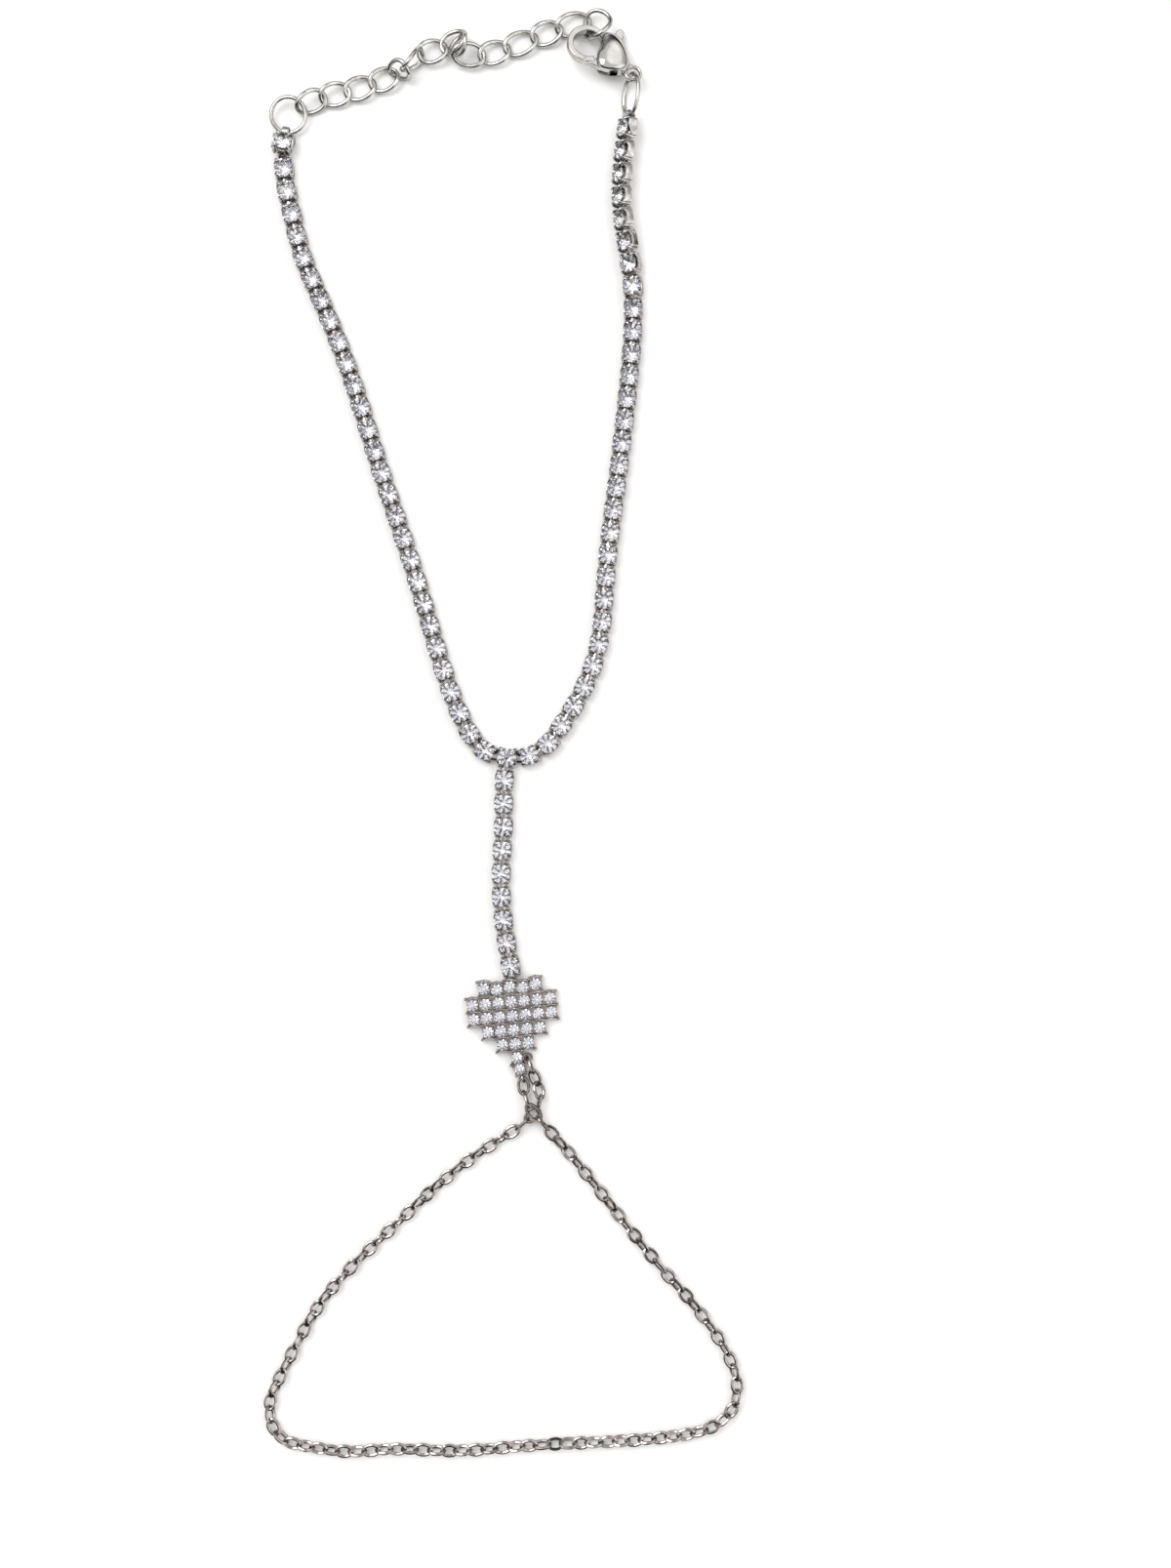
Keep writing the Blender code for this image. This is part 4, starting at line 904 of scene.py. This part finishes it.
ROOT_HALF = 0.5
NECK_HALF = 0.62
CLASP_EDGE = 0.12
HOOK_START = -135.0
MOUTH = 109.5
MOUTH_GAP = 1.0
GATE_END = 142.0
EYE_RING = 0.94
PIN_RADIUS = 0.3
PIN_ENDS = ((0.45, 0.9), (-0.9, -0.45))


def cheek_skin(brim, pad):
    """A cheek from its brim up to a flat dome, whose outline goes over from the brim's to the pad's.

    For a from 6 to 85 degrees the outline is shrunk towards its middle by cos(a)^0.5 and its height is
    low + (top - low) * sin(a)^0.5. The power under 1 keeps the top flat and turns it down fast at the rim.
    """
    brim, pad = rounded(brim), rounded(pad)
    middle = pad.mean(axis=0)
    rows = [(middle + (brim - middle) * 0.94, SLOT_HALF), (brim, SLOT_HALF + 0.03)]
    for a in np.linspace(0.1, 0.47 * np.pi, 11):
        outline = brim + (pad - brim) * min(1.0, a / 0.7)
        rows.append((middle + (outline - middle) * math.cos(a) ** 0.5,
                     SLOT_HALF + 0.05 + (PAD_HALF - SLOT_HALF - 0.05) * math.sin(a) ** 0.5))
    return stacked(rows)


def box_section(half_width, half_height, edge):
    """A rectangle with quarter-circle corners, and a point beside each arc that keeps the sides flat."""
    arc = edge * np.column_stack([np.cos(QUARTER) - 1.0, np.sin(QUARTER) - 1.0])
    arc = np.vstack([[(0.0, -1.3 * edge)], arc, [(-1.3 * edge, 0.0)]])
    corner = arc + (half_width, half_height)
    top = np.vstack([corner, (corner * (-1.0, 1.0))[::-1]])
    return np.vstack([top, -top])


def hook_band(start, end, steps):
    """Part of the hook's circle: a rounded box section carried from angle to angle, its ends eased in."""
    eased = np.ones((steps, 1, 1))
    eased[[0, -1]] = 0.93
    section = box_section(HOOK_BAND / 2.0, HOOK_HEIGHT / 2.0, CLASP_EDGE)
    return carry(HOOK_RADIUS * heading(np.linspace(start, end, steps)), section * eased, UP)


# The cheek below is made from the outlines mirrored across x, then turned half round about x.
cheek = cheek_skin(BRIM, PAD)
cheek_below = cheek_skin(*[np.array(outline)[::-1] * (1.0, -1.0) for outline in (BRIM, PAD)])
cheek_below.points *= (1.0, -1.0, -1.0)
eye_ring = carry(level(circle(EYE_RING, 40) - (EYE_REACH, 0.0), 0.0), superellipse(0.18, 0.3, 3.0, 12), UP,
                 ring=True)
pins = [stacked([(circle(PIN_RADIUS, 16) + PIVOT[:2], z) for z in ends]) for ends in PIN_ENDS]
clasp_skin = joined([
    hook_band(HOOK_START, MOUTH - MOUTH_GAP, 121), slab(rounded(ROOT), -ROOT_HALF, ROOT_HALF, CLASP_EDGE),
    slab(rounded(NECK), -NECK_HALF, NECK_HALF, 0.1), cheek, cheek_below, eye_ring, *pins])
put_mesh("clasp_case", copies(clasp_skin, clasp_place), [CAST], "clasp_body")

# %% [markdown]
# ## The lever
#
# The lever turns on the pin between the cheeks. Its tab sticks out below for the thumb, and its other end
# carries the gate, the last piece of the hook's circle, which closes the hook's mouth. The arm is a plate
# with rounded rims, and the gate has the band's own section. Both ride on the lever's own body, so that
# they turn with it.

# %% Cast the lever
ARM = [(-4.0, 0.3), (-3.45, -1.0), (-3.05, -2.9), (-2.95, -3.7), (-2.75, -4.05), (-2.35, -4.2),
       (-2.0, -4.05), (-1.85, -3.7), (-2.0, -2.9), (-2.4, -1.0), (-2.7, 0.4), (-2.3, 0.95), (-1.3, 1.55),
       (-1.2, 2.0), (-1.6, 2.2), (-2.5, 2.02), (-3.3, 1.8), (-3.95, 1.6), (-4.15, 0.9)]
ARM_HALF = 0.425

lever_skin = joined([slab(rounded(ARM), -ARM_HALF, ARM_HALF, CLASP_EDGE),
                     hook_band(MOUTH + MOUTH_GAP, GATE_END, 17)])
put_mesh("clasp_lever_arm", copies(lever_skin, clasp_place), [CAST], "clasp_lever", body="lever")

# %% [markdown]
# ## The heart
#
# The heart is a casting of square cells in rows of five, seven, seven, five, three and one. Each cell has a
# round seat for its stone and hollow sides, so that the corners where four cells meet stand as small
# pillars. The setter raises a bead on each pillar and one between each two stones of neighbouring rows, and
# presses them over the stones. A thin rail along every row bows out from pillar to pillar, and the bead
# between two stones stands on its bow.

# %% Cast the cells and set the stones
HEART_ROWS = (5, 7, 7, 5, 3, 1)
HEART_BASE = 1.1
TIP_SIZE = 1.45
TIP_HEIGHT = 1.0
TIP_TURN = 14.0
EYE_RADIUS = 0.5
EYE_WIRE = 0.3
RAIL_WIRE = 0.2
RAIL_RISE = 0.13
SQUARE = np.array([(-1, -1), (1, -1), (1, 1), (-1, 1)])


def cell_tray(half_x, half_y, height, seat, hollow, sides=32):
    """A cell: a square with hollow sides outside and a round seat with a floor inside."""
    hollowed = 1.0 - hollow * np.cos(2.0 * angles_round(sides, 0.5)) ** 2
    square = superellipse(1.0, 1.0, 12.0, sides) * hollowed[:, None] * (half_x, half_y)
    bore = circle(seat, sides, 0.5)
    return stacked([(square * 0.1, 0.15), (square, 0.15), (square, height - 0.05), (square * 0.97, height),
                    (bore * 1.03, height), (bore, height - 0.04), (bore * 0.94, height - 0.45),
                    (bore * 0.1, height - 0.5)])


def beads(spots, radius, low, top):
    """A pillar with a domed top at each point of the plane."""
    rows = [(1.0, low), (1.0, top - radius), (0.87, top - 0.5 * radius), (0.5, top - 0.13 * radius),
            (0.1, top)]
    return copies(stacked([(circle(radius * share, 8), z) for share, z in rows]),
                  frames_at(level(spots, 0.0)))


def heart_outline():
    """The stepped outline down the left side and back up the right, one step for each row."""
    top = HEART_TOP * HEART_ROW
    right = [(HEART_ROWS[0] / 2.0 * HEART_COLUMN, top + TOP_STEPS.min())]
    for row, counts in enumerate(zip(HEART_ROWS, HEART_ROWS[1:]), 1):
        right += [(count / 2.0 * HEART_COLUMN, top - row * HEART_ROW) for count in counts]
    right.append((HEART_COLUMN / 2.0, top - len(HEART_ROWS) * HEART_ROW))
    outline = [(-x, y) for x, y in right] + right[::-1]
    return np.array([p for p, q in zip(outline, outline[1:] + outline[:1]) if math.dist(p, q) > 0.001])


cells = np.array([(column * HEART_COLUMN, (HEART_TOP - 0.5 - row) * HEART_ROW
                   + (TOP_STEPS[column + 2] if row == 0 else 0.0))
                  for row, count in enumerate(HEART_ROWS)
                  for column in range(-(count - 1) // 2, (count - 1) // 2 + 1)])
half_cell = np.array([HEART_COLUMN, HEART_ROW]) / 2.0


def shared(steps):
    """The points at these half steps from the cells, where those that neighbours share count once."""
    points = (cells[:, None] + np.array(steps) * half_cell).reshape(-1, 2)
    key = np.unique(np.round(points / half_cell).astype(int), axis=0, return_inverse=True)[1].ravel()
    return np.array([points[key == k].mean(axis=0) for k in range(key.max() + 1)])


pillars = shared(SQUARE)
midway = shared([(0.0, -1.0), (0.0, 1.0)])
print("cells", len(cells), "pillars", len(pillars), "midway beads", len(midway))

low = (HEART_TOP - len(HEART_ROWS)) * HEART_ROW
tip = turned(TIP_TURN, (0.2, low - TIP_SIZE / 2.0 + 0.12, 0.0))[0]
tip_eye = put(tip, (0.0, 0.1 - TIP_SIZE / 2.0 - EYE_RADIUS, EYE_RADIUS + EYE_WIRE / 2.0))
side_eye = np.array([HEART_COLUMN / 2.0 + EYE_RADIUS, low + 0.7, HEART_BASE / 2.0])
flat_eye = loop_of(side_eye, EYE_RADIUS * heading(0.0), EYE_RADIUS * heading(90.0), 24)
up_eye = loop_of(tip_eye, EYE_RADIUS * tip[:3, 1], EYE_RADIUS * UP, 24)
steps_along = np.linspace(-0.5, 0.5, 9)
arch = np.column_stack([steps_along * HEART_COLUMN, RAIL_RISE * np.cos(np.pi * steps_along)])
edges = np.unique(np.round(np.vstack([cells + (0.0, HEART_ROW / 2.0), cells - (0.0, HEART_ROW / 2.0)]), 3),
                  axis=0)
raised = joined([
    *[wire(level(arch + edge, HEART_BASE), UP, RAIL_WIRE, 8, ring=False) for edge in edges],
    beads(pillars, radius=0.16, low=0.3, top=HEART_BASE + 0.28),
    beads(midway + (0.0, RAIL_RISE), radius=0.12, low=0.3, top=HEART_BASE + 0.2)])
# The beads and rails take the lighter copy of the plate, and the cells below the darker one: painted shade
# in the cells.
raised.paint[:] = 1
cell = cell_tray(half_x=0.79, half_y=0.855, height=HEART_BASE - 0.3, seat=0.66, hollow=0.17)
tip_cup = joined([
    cell_tray(half_x=TIP_SIZE / 2.0, half_y=TIP_SIZE / 2.0, height=TIP_HEIGHT, seat=0.58, hollow=0.05),
    beads(SQUARE * 0.62, radius=0.17, low=0.4, top=TIP_HEIGHT + 0.26)])
cell_places = frames_at(level(cells, 0.0))
heart_metal = joined([
    slab(inset(heart_outline(), 0.24), low=0.0, high=0.5, edge=0.08), copies(cell, cell_places),
    raised, copies(tip_cup, tip),
    wire(flat_eye, UP, EYE_WIRE, 8), wire(up_eye, np.cross(tip[:3, 1], UP), EYE_WIRE, 8)])
# The heart's cells are in the darker copy of the plate, painted shade, and its beads and rails in the
# lighter copy.
put_mesh("heart_plate", copies(heart_metal, heart_place), [SHADE_PAINTED_PLATE, HALF_SHADE_PLATE], "heart")

HEART_STONE = brilliant(girdle=0.705, table=0.40, crown=0.28, pavilion=0.60, belt=0.04)
heart_seats = seats(cell_places, HEART_BASE + 0.02)
tip_seat = seats(tip, TIP_HEIGHT + 0.05) @ np.diag([0.88, 0.88, 0.88, 1.0])
put_stones("heart_stones", HEART_STONE, heart_place @ np.concatenate([heart_seats, tip_seat]))

# %% [markdown]
# ## The finger chain
#
# The finger chain is a fine cable chain: oval links of round wire, each at right angles to the next. Lying
# on a table it falls so that every second link is nearly flat and the ones between stand on edge or lean.
# Its first links, four on the right and six on the left, pass through the heart's two eyes. The long run
# between them is evenly spaced joints along its route.

# %% Link the finger chain
CHAIN_WIRE = 0.41
CHAIN_WIDTH = 1.65
CHAIN_PITCH = 1.6
CHAIN_LEVEL = 0.78
CHAIN_LEAN = 56.0
PITCH_SPREAD = 0.05
LEVEL_SPREAD = 0.03
FLAT_SPREAD = 9.0
LEAN_SPREAD = 6.0
RIGHT_LEAD = [(2.6, -43.7, 0.9), (3.1, -45.2, 1.6), (4.4, -46.8, 1.6), (5.35, -48.0, 0.83)]
LEFT_LEAD = [(3.65, -41.1, 1.1), (4.2, -42.6, 0.9), (4.6, -44.2, 1.2), (4.2, -45.8, 0.60),
             (2.95, -47.0, 0.75), (1.8, -48.0, 0.9)]
RIGHT_LEAD_ROLLS = (0.0, 90.0, 0.0, 90.0)
LEFT_LEAD_ROLLS = (90.0, 25.0, -35.0, -95.0, -175.0, -265.0)
FINGER_ROUTE = [(9.2, -52.4), (17.9, -63.4), (26.0, -73.2), (28.4, -79.0), (28.0, -81.8), (25.8, -84.0),
                (21.1, -85.3), (16.3, -85.8), (2.8, -86.5), (-7.2, -87.1), (-13.7, -86.9), (-19.0, -87.2),
                (-24.0, -86.5), (-26.7, -85.7), (-28.0, -83.8), (-28.2, -81.2), (-26.9, -78.0),
                (-21.7, -68.7), (-18.6, -65.1), (-11.0, -57.8), (-6.0, -53.3)]

for node, eye_at, joints, rolls in (("right_lead", tip_eye, RIGHT_LEAD, RIGHT_LEAD_ROLLS),
                                    ("left_lead", side_eye, LEFT_LEAD, LEFT_LEAD_ROLLS)):
    eye_at = put(heart_place, eye_at)
    joints = np.array(joints) + SHIFT
    first = eye_at + unit(joints[0] - eye_at) * CHAIN_WIRE * HOOKED
    # The lead links are in the darker copy of the plate, painted shade.
    put_mesh(node + "_links", links(np.vstack([first, joints]), CHAIN_WIRE, CHAIN_WIDTH, rolls, 20, 8),
             [SHADE_PAINTED_PLATE], node)

route = spline(np.array([RIGHT_LEAD[-1][:2], *FINGER_ROUTE, LEFT_LEAD[-1][:2]]) + SHIFT[:2])
run_length = distances(route)[-1]
count = 2 * int(run_length / CHAIN_PITCH / 2.0) + 1
at = np.linspace(0.0, run_length, count + 1)
at[1:-1] += chance.normal(0.0, PITCH_SPREAD, count - 1)
height = CHAIN_LEVEL + chance.uniform(-LEVEL_SPREAD, LEVEL_SPREAD, count + 1)
height[[0, -1]] = RIGHT_LEAD[-1][2], LEFT_LEAD[-1][2]
rolls = np.where(np.arange(count) % 2 == 0, chance.normal(0.0, FLAT_SPREAD, count),
                 CHAIN_LEAN + chance.normal(0.0, LEAN_SPREAD, count))
finger = links(np.column_stack([at_distance(route, at), height]), CHAIN_WIRE, CHAIN_WIDTH, rolls, 16, 6)
print("finger links", count, "pitch", round(run_length / count, 3),
      "lowest", round(float(finger.points[:, 2].min()), 3))
# The finger chain is in the darker copy of the plate, painted shade.
put_mesh("finger_links", finger, [SHADE_PAINTED_PLATE], "finger_chain")

# %% [markdown]
# ## Table, light and sky
#
# The picture is a catalogue shot: white paper, a large soft light from the upper left, and a pale tent
# all round with darker gaps, which is what gives polished metal its greys. The tent is the world, bright
# overhead and darker towards the horizon, with three soft patches at its sides. Lengths here are metres.

# %% Light the table
TABLE_HALF = 0.6
WINDOW_PLACE = (-0.28, 0.30, 0.62)
WINDOW_SIZE = 0.45
WINDOW_POWER = 2.4
OVERHEAD = (-0.12, 0.25, 0.96)
OVERHEAD_STOPS = [(0.0, 0.04), (0.45, 0.06), (0.60, 0.35), (0.70, 0.95), (1.0, 0.95)]
SIDE_PATCHES = [((0.80, -0.30, 0.52), 1.5), ((0.62, 0.50, 0.60), 0.7), ((-0.85, 0.10, 0.50), 0.6)]

table_mesh = bpy.data.meshes.new("table")
table_mesh.from_pydata(level(SQUARE * TABLE_HALF, 0.0).tolist(), [], [(0, 1, 2, 3)])
table = new_object("table", table_mesh)
table_mesh.materials.append(new_material("white_paper", {"Base Color": (0.96, 0.96, 0.96, 1.0),
                                                         "Roughness": 0.9})[0])

window_data = bpy.data.lights.new("window", "AREA")
window_data.size = WINDOW_SIZE
window_data.energy = WINDOW_POWER
towards = unit(WINDOW_PLACE)
window_frame = frames_at(WINDOW_PLACE, np.cross((0.0, 1.0, 0.0), towards), up=towards)[0]
new_object("window", window_data).matrix_world = Matrix(window_frame.tolist())

world = bpy.data.worlds.new("tent")
scene.world = world
world.use_nodes = True
tree = world.node_tree
where = add(tree, "TexCoord").outputs["Generated"]


def glow(direction, stops):
    """Brightness of the sky by the cosine to a direction: a ramp through (cosine, brightness) pairs."""
    facing = add(tree, "VectorMath", {0: where, 1: unit(direction)}, operation="DOT_PRODUCT")
    ramp = add(tree, "ValToRGB", {"Fac": facing.outputs["Value"]})
    for _ in stops[2:]:
        ramp.color_ramp.elements.new(0.5)
    for stop, (cosine, bright) in zip(ramp.color_ramp.elements, stops):
        stop.position = cosine
        stop.color = (bright, bright * 0.985, bright * 0.97, 1.0)
    return ramp.outputs["Color"]


def patch_stops(bright):
    """Stops of a round patch of sky, full to 23 degrees from its middle and faded out at 33."""
    return [(0.0, 0.0), (0.84, 0.0), (0.92, bright), (1.0, bright)]


total = glow(OVERHEAD, OVERHEAD_STOPS)
for direction, bright in SIDE_PATCHES:
    total = add(tree, "VectorMath", {0: total, 1: glow(direction, patch_stops(bright))}).outputs["Vector"]
tree.links.new(total, tree.nodes["Background"].inputs["Color"])
scene.view_settings.view_transform = "Standard"
print("sky patches", len(SIDE_PATCHES))
